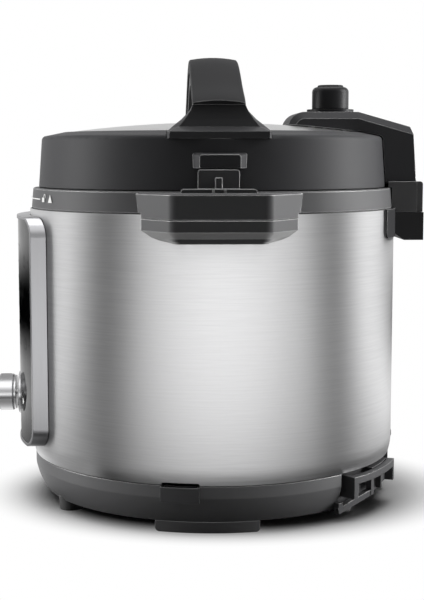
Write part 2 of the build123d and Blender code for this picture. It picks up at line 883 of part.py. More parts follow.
def encoder():
    high = (dial_height - encoder_half, dial_height + encoder_half)
    case = block((-encoder_half, encoder_half), encoder_depths, high)
    nose = on_dial_axis((encoder_nose, encoder_depths[0] + bite), encoder_nose_radius)
    return case + nose - on_dial_axis((encoder_nose, encoder_bore_end), plunger_radius + running)


def encoder_plunger():
    sleeve = on_dial_axis(plunger_depths, plunger_radius)
    return sleeve - on_dial_axis(plunger_depths, shaft_radius + running)


def dial_shaft():
    return on_dial_axis(shaft_depths, shaft_radius)


def dial():
    neck = dial_back - dial_skirt
    front = on_dial_axis((dial_front, neck), dial_radius)
    front = chamfer(front.edges(), dial_edge)
    return front + on_dial_axis((neck, dial_back), dial_skirt_radius) - dial_shaft()


def dial_bezel():
    ring = on_dial_axis(bezel_depths, bezel_radii[1])
    ring = chamfer(ring.edges().sort_by(Axis.Y)[:1], dial_edge)
    ring -= on_dial_axis(bezel_depths, bezel_radii[0])
    return ring - drum(glass_radii[1], panel_heights)


def push_button(side):
    flange_top = carrier_radii[0] - slip
    flange_bottom = flange_top - button_flange
    cap = button_rod(side, button_radius, (flange_bottom, button_face))
    return cap + button_rod(side, button_flange_radius, (flange_bottom, flange_top))


# Lid ring and handle


def ring_outer_outline():
    """Outside of the lid ring from its lower edge to its inner edge."""
    outline = Line((ring_radii[0], ring_bottom), (ring_radii[1], ring_shoulder_top))
    outline += ThreePointArc((ring_radii[1], ring_shoulder_top), ring_corner, ring_bevel_from)
    outline += Line(ring_bevel_from, ring_bevel_to)
    outline += Line(ring_bevel_to, (ring_inner_radius, dome_edge))
    return outline


def ring_envelope():
    """Full solid inside the ring's outer surface."""
    outline = ring_outer_outline()
    outline += Polyline((ring_inner_radius, dome_edge), (0, dome_edge), (0, ring_bottom),
                        (ring_radii[0], ring_bottom))
    return lathe(outline)


def lid_ring():
    skirt_in, skirt_out = ring_skirt_radii
    web_low, web_high = ring_web
    wall = ring_radii[1] - ring_wall
    outline = ring_outer_outline()
    outline += Polyline((ring_inner_radius, dome_edge), (ring_inner_radius, dome_edge - ring_wall),
                        (ring_bevel_to[0], ring_bevel_to[1] - ring_wall),
                        (ring_bevel_from[0] - ring_draft, ring_bevel_from[1] - ring_wall),
                        (wall, ring_shoulder_top - ring_wall), (wall + ring_draft, web_high),
                        (ring_web_radius, web_high), (ring_web_radius, web_low), (skirt_in, web_low),
                        (skirt_in, ring_skirt_bottom), (skirt_out, ring_skirt_bottom),
                        (skirt_out, ring_bottom), (ring_radii[0], ring_bottom))
    ring = lathe(outline)
    half = foot_plate_half + slip
    pocket = block((0, drum_radius), (-half, half), (foot_plate_heights[0], handle_top))
    ring = ring - pocket - far_side(pocket)
    for x in (-handle_screw_place, handle_screw_place):
        ring -= post((x, 0), handle_screw_radius, (web_low, foot_plate_heights[0]))
    return ring


def locking_ring():
    ring = tube(lock_wall_radii, lock_heights)
    for k in range(lug_count):
        middle = k * lug_pitch
        ring += sector((lock_lug_radius, lock_wall_radii[1]), (lock_heights[0], lock_lug_top),
                       (middle - lug_width / 2, middle + lug_width / 2))
    return ring


def ring_hood():
    low, top = hood_heights
    start = ring_radii[1] - ring_wall
    base = Plane(origin=(start, 0, low), x_dir=(0, 1, 0), z_dir=(1, 0, 0))
    face = Plane(origin=(hood_face, 0, low), x_dir=(0, 1, 0), z_dir=(1, 0, 0))
    outlines = []
    sections = ((base, hood_half_width, top - low), (face, hood_face_half, hood_face_top - low))
    for plane, half, high in sections:
        outline = Pos(0, high / 2) * Rectangle(2 * half, high)
        outlines.append(plane * fillet(outline.vertices().sort_by(Axis.Y)[2:], hood_corner))
    return loft(outlines) - ring_envelope()


def handle_curve(drop):
    """Upper line of the handle, lowered by a distance, from end to end."""
    (cx, cz), (ex, ez) = handle_crown, handle_end
    curve = Line((ex, ez - drop), (cx, cz - drop))
    curve += ThreePointArc((cx, cz - drop), (0, handle_top - drop), (-cx, cz - drop))
    curve += Line((-cx, cz - drop), (-ex, ez - drop))
    return curve


def handle_bar(upper, lower, half_width):
    """Bar between two lowered copies of the handle's line."""
    ex, ez = handle_end
    outline = handle_curve(upper) + handle_curve(lower)
    outline += Line((ex, ez - upper), (ex, ez - lower))
    outline += Line((-ex, ez - upper), (-ex, ez - lower))
    return front_profile(make_face(outline), half_width)


def handle_height(x):
    """Height of the handle's crown at a place along it."""
    (cx, cz), (ex, ez) = handle_crown, handle_end
    if abs(x) > cx:
        return cz + (ez - cz) * (abs(x) - cx) / (ex - cx)
    rise = handle_top - cz
    radius = (cx ** 2 + rise ** 2) / (2 * rise)
    return handle_top - radius + sqrt(radius ** 2 - x ** 2)


def handle_envelope():
    """Solid under the cambered top of the handle."""
    half = handle_half_width
    sections = []
    for x in handle_stations:
        high = handle_height(x)
        side = high - handle_camber
        outline = Polyline((half, side), (half, dome_top), (-half, dome_top), (-half, side))
        outline += ThreePointArc((-half, side), (0, high), (half, side))
        face = make_face(outline)
        face = fillet(face.vertices().group_by(Axis.Y)[-1], handle_edge)
        sections.append(Plane(origin=(x, 0, 0), x_dir=(0, 1, 0), z_dir=(1, 0, 0)) * face)
    return loft(sections)


def handle_grip():
    grip = handle_bar(-bite, handle_grip_depth, handle_half_width) & handle_envelope()
    ceiling = handle_shell + handle_camber
    grip -= handle_bar(ceiling, handle_grip_depth, handle_half_width - handle_shell)
    half = handle_half_width + bite
    room = block((foot_back, handle_end[0] + bite), (-half, half), (dome_top, handle_lip_bottom))
    return grip - room - far_side(room)


def handle_foot():
    """Flared foot at one end of the handle, from its seat in the ring up to the handle's lip."""
    planes = []
    for z, front, front_half, back_half in foot_sections:
        bevel = front - foot_bevel
        outline = Polygon((foot_back, -back_half), (bevel, -back_half), (front, -front_half),
                          (front, front_half), (bevel, back_half), (foot_back, back_half), align=None)
        planes.append(Pos(0, 0, z) * outline)
    return loft(planes, ruled=True)


def handle_cover_bar():
    bar = handle_bar(handle_grip_depth, handle_depth, cover_half_width)
    bar &= block((-foot_back - bite, foot_back + bite), (-cover_half_width, cover_half_width),
                 (dome_top, handle_top))
    foot = handle_foot()
    cover = bar + foot + far_side(foot)
    top = foot_plate_heights[1] + handle_screw_bite
    for x in (-handle_screw_place, handle_screw_place):
        cover -= post((x, 0), handle_screw_radius, (foot_plate_heights[0], top))
    return cover


def handle_screws():
    screws = []
    top = foot_plate_heights[1] + handle_screw_bite
    for x in (-handle_screw_place, handle_screw_place):
        head = post((x, 0), screw_head[0], (ring_web[1], ring_web[1] + screw_head[1]))
        screws.append(head + post((x, 0), handle_screw_radius, (ring_web[1], top)))
    return group(screws)


# Fixed part of the lid


def dome_solid(raise_by):
    """Solid under the dome's outer surface, lifted by a distance."""
    edge, top = dome_edge + raise_by, dome_top + raise_by
    half = dome_radius / 2
    sag = (dome_top - dome_edge) / 4
    outline = ThreePointArc((0, top), (half, top - sag), (dome_radius, edge))
    outline += Polyline((dome_radius, edge), (dome_radius, core_plate[0]), (0, core_plate[0]), (0, top))
    return lathe(outline)


def lid_holes(room):
    """Room for the vent pipe, the float pin and the arm's screws."""
    span = (0, arm_top + bite)
    holes = post(valve_place, pipe_radius + room, span) + post(float_place, pin_radius + room, span)
    for place in arm_screw_places:
        holes += post(place, arm_screw_radius + running, span)
    return holes


def lid_dome():
    sheet = dome_solid(0) - dome_solid(-dome_sheet)
    return sheet - lid_holes(slip) - drum(dome_radius + bite, (0, core_plate[1]))


def lid_core():
    return tube(core_radii, core_heights) + drum(core_radii[1], core_plate) - lid_holes(slip)


def pressure_lid():
    inner, outer = lid_wall_radii
    low, high = lid_plate
    lid = turned((0, low), (outer, low), (outer, lid_flange[0]), (lid_flange_radius, lid_flange[0]),
                 (lid_flange_radius, lid_flange[1]), (inner, lid_flange[1]), (inner, high), (0, high))
    lid -= post(valve_place, pipe_radius, (0, arm_top))
    return lid - post(float_place, pin_radius + running, (0, arm_top))


def gasket():
    inner, outer = gasket_radii
    top, low = lid_plate[0], gasket_bottom
    deep, high = gasket_groove
    groove_low = (low + top - high) / 2
    groove_high = groove_low + high
    return turned((inner, top), (outer, top), (outer, low + gasket_edge), (outer - gasket_edge, low),
                  (inner + gasket_edge, low), (inner, low + gasket_edge), (inner, groove_low),
                  (inner + deep, groove_low), (inner + deep, groove_high), (inner, groove_high))


def vent_pipe():
    pipe = drum(pipe_radius, pipe_heights)
    pipe += drum(pipe_flange_radius, (lid_plate[0] - pipe_flange, lid_plate[0]))
    pipe -= drum(pipe_bore, pipe_heights)
    return Pos(*valve_place, 0) * pipe


def steam_shield():
    inner, outer = shield_radii
    top = lid_plate[0]
    sheet = outer - inner
    cup = turned((0, shield_bottom), (outer, shield_bottom), (outer, top), (inner, top),
                 (inner, shield_bottom + sheet), (0, shield_bottom + sheet))
    wide, high = shield_slot
    middle = (shield_bottom + top) / 2
    for k in range(shield_slots):
        slot = block((0, 2 * outer), (-wide / 2, wide / 2), (middle - high / 2, middle + high / 2))
        cup -= Rot(0, 0, k * 360 / shield_slots) * slot
    return Pos(*valve_place, 0) * cup


def valve_seat():
    seat = drum(seat_radius, seat_heights) - drum(pipe_radius + slip, seat_heights)
    return Pos(*valve_place, 0) * chamfer(seat.edges().sort_by(Axis.Z)[-1:], slip)


def valve_weight():
    weight = drum(weight_radius, weight_heights)
    weight -= drum(pipe_radius + running, (weight_heights[0], pipe_heights[1] + slip))
    return Pos(*valve_place, 0) * weight


def steam_knob():
    low, high = knob_heights
    inside = weight_radius + running
    ceiling = weight_heights[1] + slip
    shoulder = knob_shoulder * (1 - cos(radians(45)))
    outline = Polyline((inside, low), (knob_radius, low), (knob_radius, high - knob_shoulder))
    outline += ThreePointArc((knob_radius, high - knob_shoulder), (knob_radius - shoulder, high - shoulder),
                             (knob_radius - knob_shoulder, high))
    outline += Polyline((knob_radius - knob_shoulder, high), (knob_cap_radius - slip, knob_cap_top - seam),
                        (knob_cap_radius - knob_cap_edge, knob_cap_top), (0, knob_cap_top), (0, ceiling),
                        (inside, ceiling), (inside, low))
    return Pos(*valve_place, 0) * lathe(outline)


def float_pin():
    low = pin_heights[0]
    pin = drum(pin_radius, pin_heights) + drum(pin_head_radius, (low, low + pin_head))
    pin += drum(pin_clip_radius, pin_clip)
    return Pos(*float_place, 0) * pin


# Hinge arm


def lid_cover_envelope(room):
    """Outside of the closed lid, grown by a distance, for what passes over it."""
    low, outer = ring_bottom - ring_wall, ring_radii[0] + room
    shoulder = (ring_radii[1] + room, ring_shoulder_top)
    bevel = (ring_bevel_from[0], ring_bevel_from[1] + room)
    outline = Polyline((0, low), (outer, low), (outer, ring_bottom), shoulder)
    outline += ThreePointArc(shoulder, (ring_corner[0] + room, ring_corner[1] + room), bevel)
    outline += Polyline(bevel, (ring_bevel_to[0], ring_bevel_to[1] + room), (dome_radius, dome_edge + room))
    sag = (dome_top - dome_edge) / 4
    outline += ThreePointArc((dome_radius, dome_edge + room), (dome_radius / 2, dome_top - sag + room),
                             (0, dome_top + room))
    outline += Line((0, dome_top + room), (0, low))
    return lathe(outline)


def arm_outline():
    foot = hinge_z + knuckle_radius / 2
    outline = ThreePointArc(arm_tip, arm_nose, arm_tip_top)
    outline += Polyline(arm_tip_top, arm_bend, arm_rear, arm_rear_corner, (arm_leg_rear, foot),
                        (arm_leg_front, foot), (arm_leg_front, ring_bottom), arm_inner,
                        (arm_inner[0], arm_under), (arm_tip[0], arm_under), arm_tip)
    return make_face(outline)


def arm_cavity(inset):
    """Inside of the arm: open to the lid below and in front."""
    wall = arm_wall + inset
    front = cavity_front[0] + 2 * inset
    ridge = ((front, cavity_front[1]), (arm_tip_top[0] + wall / 2, arm_top - wall),
             (arm_bend[0] - wall / 4, arm_top - wall), (arm_rear[0] - wall, arm_rear[1] - wall))
    corner = (arm_rear_corner[0] - wall, arm_rear_corner[1] - wall / 2)
    outline = Polygon((front, cavity_bottom), *ridge, corner, (arm_leg_rear - wall, arm_leg_top),
                      (cavity_rear, arm_leg_top), (cavity_rear, cavity_bottom), align=None)
    room = side_profile(outline, arm_half_width - wall)
    return bevel_ridge(room, ridge)


def bevel_ridge(body, ridge):
    """Body with both side edges bevelled along a line of its top."""
    half = body.bounding_box().max.X
    return chamfer([edge for edge in body.edges() if edge_on_ridge(edge, half, ridge)], arm_chamfer)


def edge_on_ridge(edge, half, ridge):
    """True for a side edge that joins two neighbours of a ridge line."""
    start, end = edge @ 0, edge @ 1
    on_side = abs(abs(start.X) - half) < slip and abs(start.X - end.X) < slip
    return on_side and on_line(start, ridge) and on_line(end, ridge)


def on_line(spot, ridge):
    """True for a corner that is one of a ridge line's."""
    return any(abs(spot.Y - y) + abs(spot.Z - z) < slip for y, z in ridge)


def arm_shell():
    body = side_profile(arm_outline(), arm_half_width)
    body = bevel_ridge(body, ((arm_tip[0], arm_under), arm_tip, arm_tip_top, arm_bend, arm_rear))
    body -= lid_cover_envelope(lid_clearance)
    body -= arm_cavity(0)
    knuckle = rod((-arm_half_width, hinge_y, hinge_z), (1, 0, 0), knuckle_radius, 2 * arm_half_width)
    body += knuckle
    body -= rod((-arm_half_width, hinge_y, hinge_z), (1, 0, 0), bush_radius, 2 * arm_half_width)
    for place in arm_screw_places:
        boss = post(place, standoff_radius, (dome_top - bite, arm_top - bite))
        body += boss - lid_cover_envelope(arm_cover + bite)
        body -= post(place, arm_screw_radius, (0, arm_top - arm_wall))
    body -= post(valve_place, pipe_radius + slip, (0, arm_top + bite))
    return body - post(float_place, pin_radius + slip, (0, arm_top + bite))


def arm_under_cover():
    sheet = arm_cavity(running) & lid_cover_envelope(lid_clearance + arm_cover)
    sheet -= lid_cover_envelope(lid_clearance)
    for place in arm_screw_places:
        sheet -= post(place, standoff_radius + running, (0, arm_top))
    sheet -= post(valve_place, pipe_radius + slip, (0, arm_top))
    return sheet - post(float_place, pin_radius + slip, (0, arm_top))


def arm_screws():
    screws = []
    for place in arm_screw_places:
        head = post(place, screw_head[0], (core_plate[0] - screw_head[1], core_plate[0]))
        screws.append(head + post(place, arm_screw_radius, (core_plate[0], arm_top - 2 * arm_wall)))
    return group(screws)


def hinge_bushes():
    bushes = []
    for start in (-arm_half_width, arm_half_width - bush_length):
        place = (start, hinge_y, hinge_z)
        bore = rod(place, (1, 0, 0), hinge_pin_radius + running, bush_length)
        bushes.append(rod(place, (1, 0, 0), bush_radius, bush_length) - bore)
    return group(bushes)


def hinge_pin():
    start = (-hinge_pin_half, hinge_y, hinge_z)
    return rod(start, (1, 0, 0), hinge_pin_radius, 2 * hinge_pin_half)


def hinge_block():
    low, high = block_heights
    outline = Rectangle(block_rear - block_front, high - low)
    outline = Pos((block_front + block_rear) / 2, (low + high) / 2) * outline
    outline = fillet(outline.vertices().group_by(Axis.Y)[-1], block_corner)
    body = side_profile(outline, cheek_half_width)
    along, across = block_bevel
    shoulder, narrow = block_rear - along, cheek_half_width - across
    plan = Polygon((-cheek_half_width, 0), (cheek_half_width, 0), (cheek_half_width, shoulder),
                   (narrow, block_rear), (-narrow, block_rear), (-cheek_half_width, shoulder), align=None)
    body &= extrude(plan, amount=arm_top)
    body -= block((-cheek_inner, cheek_inner), (block_wall_rear, block_rear), (low + block_floor, high))
    body -= block((-cheek_inner, cheek_inner), (0, block_wall_rear), (block_wall_top, high))
    body -= drum(collar_radii[0] + running, (collar_bottom - seam, collar_top + slip))
    body -= drum(block_lip_radius, (collar_top, high))
    body -= drum(drum_radius + back_plate_thick + slip, (0, collar_bottom - seam))
    body -= ring_clearance()
    half, head_low, head_high = tongue_head
    body += block((-tongue_stem, tongue_stem), tongue_depths, (head_high, low))
    body += block((-half, half), tongue_depths, (head_low, head_high))
    return body - hinge_pin()


def ring_clearance():
    """Room for the lid ring above the collar."""
    return drum(ring_radii[0] + slip, (collar_top, arm_top))


def cup_solid(inset):
    """Outline of the cup with its sloping underside, drawn in from its walls and floor."""
    low, high = cup_heights
    near, far = cup_taper
    step, floor, rear = cup_taper_top + inset, low + inset, cup_rear - inset
    shelf = far - (cup_taper_top - low) * cup_taper_slope + inset
    outline = Polygon((near, high), (near, step), (shelf, step), (far + inset, floor), (rear, floor),
                      (rear, high), align=None)
    return side_profile(outline, cup_half_width - inset) - drum(cup_front_radius + inset, (0, high))


def condensate_cup():
    high = cup_heights[1]
    cup = cup_solid(0) - cup_solid(cup_wall)
    for x in ((cup_lip_inner, cup_half_width - bite), (bite - cup_half_width, -cup_lip_inner)):
        cup += block(x, (tongue_depths[0], cup_rear - bite), (cup_lip_bottom, high))
    notch = tongue_head[0] + bite
    return cup - block((-notch, notch), (0, tongue_depths[0]), (cup_notch_bottom, high))


def back_plate():
    low, high = back_plate_heights
    outline = Pos(0, (low + high) / 2) * Rectangle(2 * back_plate_half, high - low)
    outline = fillet(outline.vertices().group_by(Axis.Y)[0], back_plate_corner)
    prism = extrude(Plane.XZ * outline, amount=-2 * drum_radius)
    plate = prism & tube((drum_radius + running, drum_radius + back_plate_thick), back_plate_heights)
    half = cup_half_width + slip
    return plate - block((-half, half), (0, cup_rear), (low, cup_heights[1] + slip))


os.makedirs("parts", exist_ok=True)

bracket = cord_bracket()
cover = handle_cover()

save("feet", feet())
save("side_pads", side_pads())
save("base_shell", base_shell())
save("housing_screws", group([base_screws(), handle_cover_screws()]))
save("spoon_slot", spoon_slot())
save("cord_brackets", group([bracket, far_side(bracket)]))
save("power_inlet", power_inlet())
save("inlet_pins", group(inlet_pin_boxes()))
save("rear_bumper", rear_bumper())
save("steel_drum", steel_drum())
save("collar", collar())
save("handle_covers", group([cover, far_side(cover)]))
save("sensor_post", sensor_post())
save("inner_pot", inner_pot())
save("liner", liner())
save("locking_flange", locking_flange())
save("heating_plate", heating_plate())
save("heating_element", heating_element())
save("thermal_fuse", thermal_fuse())
save("pot_sensor", pot_sensor())
save("sensor_holder", sensor_holder())
save("sensor_spring", sensor_spring())
save("power_board", power_board_piece())
save("panel_frame", panel_frame())
save("panel_glass", panel_glass())
save("panel_carrier", panel_carrier())
save("display", display())
save("control_board", control_board())
save("encoder", encoder())
save("encoder_plunger", encoder_plunger())
save("dial_shaft", dial_shaft())
save("dial", dial())
save("dial_bezel", dial_bezel())
save("start_button", push_button(1))
save("cancel_button", push_button(-1))
save("lid_ring", lid_ring())
save("locking_ring", locking_ring())
save("retainer_ring", tube(retainer_radii, retainer_heights))
save("ring_hood", ring_hood())
save("handle_grip", handle_grip())
save("handle_foot_cover", handle_cover_bar())
save("handle_screws", handle_screws())
save("lid_dome", lid_dome())
save("lid_core", lid_core())
save("pressure_lid", pressure_lid())
save("gasket", gasket())
save("vent_pipe", vent_pipe())
save("steam_shield", steam_shield())
save("valve_seat", valve_seat())
save("valve_weight", valve_weight())
save("steam_knob", steam_knob())
save("float_pin", float_pin())
save("arm_shell", arm_shell())
save("arm_under_cover", arm_under_cover())
save("arm_screws", arm_screws())
save("hinge_bushes", hinge_bushes())
save("hinge_pin", hinge_pin())
save("hinge_block", hinge_block())
save("condensate_cup", condensate_cup())
save("back_plate", back_plate())
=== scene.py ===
import math

import bpy
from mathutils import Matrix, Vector


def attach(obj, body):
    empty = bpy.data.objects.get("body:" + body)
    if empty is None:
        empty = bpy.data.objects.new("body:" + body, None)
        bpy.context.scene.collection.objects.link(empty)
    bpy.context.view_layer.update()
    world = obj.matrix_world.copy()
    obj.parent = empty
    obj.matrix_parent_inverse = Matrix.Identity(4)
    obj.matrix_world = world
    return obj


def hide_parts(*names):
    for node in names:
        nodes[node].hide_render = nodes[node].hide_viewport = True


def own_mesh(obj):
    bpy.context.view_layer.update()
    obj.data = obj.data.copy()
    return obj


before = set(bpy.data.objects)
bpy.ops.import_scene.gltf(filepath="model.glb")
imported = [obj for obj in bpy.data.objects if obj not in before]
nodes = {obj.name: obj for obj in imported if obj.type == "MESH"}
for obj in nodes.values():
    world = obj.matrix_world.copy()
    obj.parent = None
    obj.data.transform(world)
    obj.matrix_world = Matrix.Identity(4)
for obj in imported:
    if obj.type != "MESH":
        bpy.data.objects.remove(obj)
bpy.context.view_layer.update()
scene = bpy.context.scene
scene.view_settings.view_transform = "Standard"
print("cooker loaded:", len(nodes), "nodes")


# Wiring of the shaders

middle = 0.5                                  # mean of a noise
bumpHeight = 0.0002
# Painted highlight on sharp edges: samples of the rolled normal and the range of its edge mask
edgeLook = {"samples": 6, "wearAndHighlight": (0.01, 0.09)}


def plug(tree, slot, value):
    if isinstance(value, Wire):
        tree.links.new(value.socket, slot)
    elif value is not None:
        slot.default_value = value


class Wire:                                   # a socket that can stand in a sum
    def __init__(self, socket):
        self.socket = socket

    def maths(self, how, first, second):
        tree = self.socket.id_data
        node = tree.nodes.new("ShaderNodeMath")
        node.operation = how
        plug(tree, node.inputs[0], first)
        plug(tree, node.inputs[1], second)
        return Wire(node.outputs[0])

    def __add__(self, other):
        return self.maths("ADD", self, other)

    def __radd__(self, other):
        return self.maths("ADD", other, self)

    def __sub__(self, other):
        return self.maths("SUBTRACT", self, other)

    def __rsub__(self, other):
        return self.maths("SUBTRACT", other, self)

    def __mul__(self, other):
        return self.maths("MULTIPLY", self, other)

    def __rmul__(self, other):
        return self.maths("MULTIPLY", other, self)

    def __pow__(self, other):
        return self.maths("POWER", self, other)

    def __rpow__(self, other):
        return self.maths("POWER", other, self)


class Bench:                                  # where one shader is wired up
    def __init__(self, tree):
        self.tree = tree
        tree.nodes.clear()

    def node(self, kind, settings=None, sockets=None, out=0):
        node = self.tree.nodes.new("ShaderNode" + kind)
        for key, value in (settings or {}).items():
            if key == "stops":
                ramp = node.color_ramp.elements
                while len(ramp) < len(value):
                    ramp.new(1.0)
                for stop, (place, tone) in zip(ramp, value):
                    stop.position = place
                    stop.color = grey(tone)
            else:
                setattr(node, key, value)
        for key, value in (sockets or {}).items():
            plug(self.tree, node.inputs[key], value)
        return Wire(node.outputs[out]) if node.outputs else None

    def place(self):                          # where a point is on the piece itself, in metres
        return self.node("TexCoord", out=3)

    def stretch(self, vector, by):
        return self.node("VectorMath", {"operation": "MULTIPLY"}, {0: vector, 1: by})

    def split(self, vector):
        first = self.node("SeparateXYZ", {}, {0: vector})
        return [Wire(socket) for socket in first.socket.node.outputs]

    def noise(self, vector, scale, detail=2.0, rough=0.5):
        return self.node("TexNoise", {}, {"Vector": vector, "Scale": scale, "Detail": detail,
                                          "Roughness": rough})

    def streaks(self, vector, by, detail, rough=0.5):
        return self.noise(self.stretch(vector, by), 1.0, detail, rough)

    def ease(self, value, low, high):         # smooth step from 0 at low to 1 at high
        return self.node("MapRange", {"interpolation_type": "SMOOTHSTEP"},
                         {"Value": value, "From Min": low, "From Max": high})

    def tint(self, share, first, second):     # colour between two colours
        return self.node("Mix", {"data_type": "RGBA"}, {0: share, 6: first, 7: second}, 2)

    def mottle(self, share, look):            # colour between two tones of the look's own colour
        return self.tint(share, *[shade(look["colour"], tone) for tone in look["tones"]])

    def rounded(self, radius):                # normal that rolls over sharp edges
        return self.node("Bevel", {"samples": edgeLook["samples"]}, {"Radius": radius})

    def highlitEdges(self, edge):                   # 1 along the sharp edges, 0 on the faces: the mask of the painted edge highlight
        flat = self.node("NewGeometry", out="Normal")
        along = self.node("VectorMath", {"operation": "DOT_PRODUCT"}, {0: edge, 1: flat}, 1)
        return self.ease(1 - along, *edgeLook["wearAndHighlight"])

    def bump(self, height, strength, normal=None, distance=bumpHeight):
        return self.node("Bump", {}, {"Height": height, "Strength": strength, "Distance": distance,
                                      "Normal": normal})

    def skin(self, sockets):
        shader = self.node("BsdfPrincipled", {}, sockets)
        self.node("OutputMaterial", {}, {"Surface": shader})


def newFinish(name):
    material = bpy.data.materials.new(name)
    material.use_nodes = True
    return material, Bench(material.node_tree)


def grey(level):
    return (level, level, level, 1)


def shade(colour, by):
    return tuple(part * by for part in colour[:3]) + (1,)


def dress(finish, shared, looks):             # one material for each look, on the nodes it names
    for look in looks:
        material = finish({**shared, **look})
        for name in look["on"]:
            for slot in nodes[name].material_slots:
                slot.material = material


# Moulded plastic: fine spark grain, soft tone drift, and a painted highlight along the sharp edges, which
# turn light grey, partly metallic and smoother

# A painted highlight runs along the sharp edges; its keys give its strength, its light grey, its metallic
# share and how much smoother it is
moulding = {"grain": 1500, "drift": 22, "detail": 3, "tones": (0.86, 1.14), "patchy": (0.4, 0.9),
            "rough": 0.48, "roughDrift": 0.12, "roughGrain": 0.10, "roughRub": 0.12, "gleam": 0.08,
            "depth": 0.20, "edge": 0.0009, "rub": 0.9, "bare": 0.55, "shine": 0.6}
plastics = [
    {"name": "housingPlastic", "on": ("collar", "sensor_post", "power_inlet"),
     "colour": (0.068, 0.068, 0.070, 1), "drift": 26, "gleam": 0.12, "depth": 0.22},
    # The handle covers: faces that look down get a painted lighter grey, in place of light from the table
    {"name": "coverPlastic", "on": ("handle_covers",), "colour": (0.068, 0.068, 0.070, 1), "drift": 26,
     "gleam": 0.12, "depth": 0.22, "under": 0.30, "slope": (0.15, 0.6)},
    {"name": "blockPlastic", "on": ("hinge_block",), "colour": (0.16, 0.16, 0.162, 1), "drift": 26,
     "gleam": 0.12, "depth": 0.22, "rub": 0.7, "bare": 0.45, "shine": 0.5},
    {"name": "basePlastic", "on": ("base_shell", "side_pads"), "colour": (0.088, 0.088, 0.09, 1), "drift": 26,
     "rough": 0.46, "gleam": 0.4, "depth": 0.22, "edge": 0.0008, "rub": 0.6, "bare": 0.45, "shine": 0.4},
    {"name": "hookPlastic", "on": ("spoon_slot", "cord_brackets"), "colour": (0.055, 0.055, 0.057, 1),
     "drift": 30, "rough": 0.42, "gleam": 0.2, "edge": 0.0006, "rub": 0.5, "bare": 0.40, "shine": 0.5},
    {"name": "ringPlastic", "on": ("lid_ring",), "colour": (0.034, 0.034, 0.036, 1), "rub": 0.25,
     "bare": 0.30, "shine": 0.2},
    {"name": "lidPlastic", "on": ("ring_hood", "arm_shell", "arm_under_cover", "lid_core"),
     "colour": (0.036, 0.036, 0.038, 1)},
    {"name": "gripPlastic", "on": ("handle_grip", "back_plate"), "colour": (0.024, 0.024, 0.025, 1),
     "rough": 0.50, "gleam": 0.015, "rub": 0.55, "bare": 0.40, "shine": 0.5},
    {"name": "footPlastic", "on": ("handle_foot_cover",), "colour": (0.045, 0.045, 0.047, 1), "edge": 0.0008,
     "rub": 0.35, "bare": 0.35, "shine": 0.3},
    {"name": "innerPlastic", "on": ("panel_carrier", "sensor_holder", "encoder", "encoder_plunger"),
     "colour": (0.060, 0.060, 0.062, 1), "grain": 900, "drift": 40, "rough": 0.58, "gleam": 0.4,
     "depth": 0.25, "edge": 0.0005, "rub": 0.2, "bare": 0.20, "shine": 0.0},
    {"name": "footRubber", "on": ("feet", "rear_bumper"), "colour": (0.045, 0.045, 0.045, 1), "grain": 700,
     "drift": 90, "rough": 0.78, "gleam": 0.35, "depth": 0.35, "edge": 0.0008, "rub": 0.3, "bare": 0.16,
     "shine": 0.0},
]


def mouldedPlastic(look):
    material, bench = newFinish(look["name"])
    spot = bench.place()
    grain = bench.noise(spot, look["grain"], look["detail"])
    drift = bench.noise(spot, look["drift"], look["detail"])
    edge = bench.rounded(look["edge"])
    least, extra = look["patchy"]
    rub = bench.highlitEdges(edge) * (least + drift * extra)
    plain = bench.mottle(drift, look)
    if "under" in look:                       # painted light: faces that look down are tinted lighter grey, in place of light from the table
        down = 0 - bench.split(bench.node("NewGeometry", out="Normal"))[2]
        plain = bench.tint(bench.ease(down, *look["slope"]), plain, grey(look["under"]))
    # painted highlight: the sharp edges turn light grey
    colour = bench.tint(rub * look["rub"], plain, grey(look["bare"]))
    rough = look["rough"] + (drift - middle) * look["roughDrift"] + (grain - middle) * look["roughGrain"]
    rough = rough - rub * look["roughRub"]
    bench.skin({"Base Color": colour, "Metallic": rub * look["shine"], "Roughness": rough,
                "Specular IOR Level": look["gleam"], "Normal": bench.bump(grain, look["depth"], edge)})
    return material


dress(mouldedPlastic, moulding, plastics)


# Polished plastic: nearly smooth, with faint wipe marks

polishing = {"drift": 35, "tones": (0.8, 1.2), "detail": 4, "smeared": (0.5, 0.75), "depth": 0.02,
             "edge": 0.0008}
polished = [
    {"name": "knobPlastic", "on": ("steam_knob", "valve_seat", "start_button", "cancel_button"),
     "colour": (0.012, 0.012, 0.013, 1), "wipe": (160, 160, 40), "rough": 0.38, "smear": 0.10, "gleam": 0.10},
    {"name": "cupPlastic", "on": ("condensate_cup",), "colour": (0.006, 0.006, 0.0065, 1),
     "wipe": (60, 60, 180), "rough": 0.34, "smear": 0.12, "gleam": 0.12},
]


def polishedPlastic(look):
    material, bench = newFinish(look["name"])
    spot = bench.place()
    wipe = bench.streaks(spot, look["wipe"], look["detail"])
    drift = bench.noise(spot, look["drift"])
    colour = bench.mottle(drift, look)
    rough = look["rough"] + bench.ease(wipe, *look["smeared"]) * look["smear"]
    bench.skin({"Base Color": colour, "Roughness": rough, "Specular IOR Level": look["gleam"],
                "Normal": bench.bump(wipe, look["depth"], bench.rounded(look["edge"]))})
    return material


dress(polishedPlastic, polishing, polished)


# Black glass of the panel: deep black under a reflection that grows at a glancing angle, with wipe marks

panelGlass = {"name": "panelGlass", "on": ("panel_glass", "display"), "colour": (0.006, 0.006, 0.007, 1),
              "wipe": (40, 40, 70), "detail": 4, "smeared": (0.5, 0.75), "rough": 0.06, "smear": 0.10,
              "bend": 1.55, "patchy": (0.8, 0.4)}


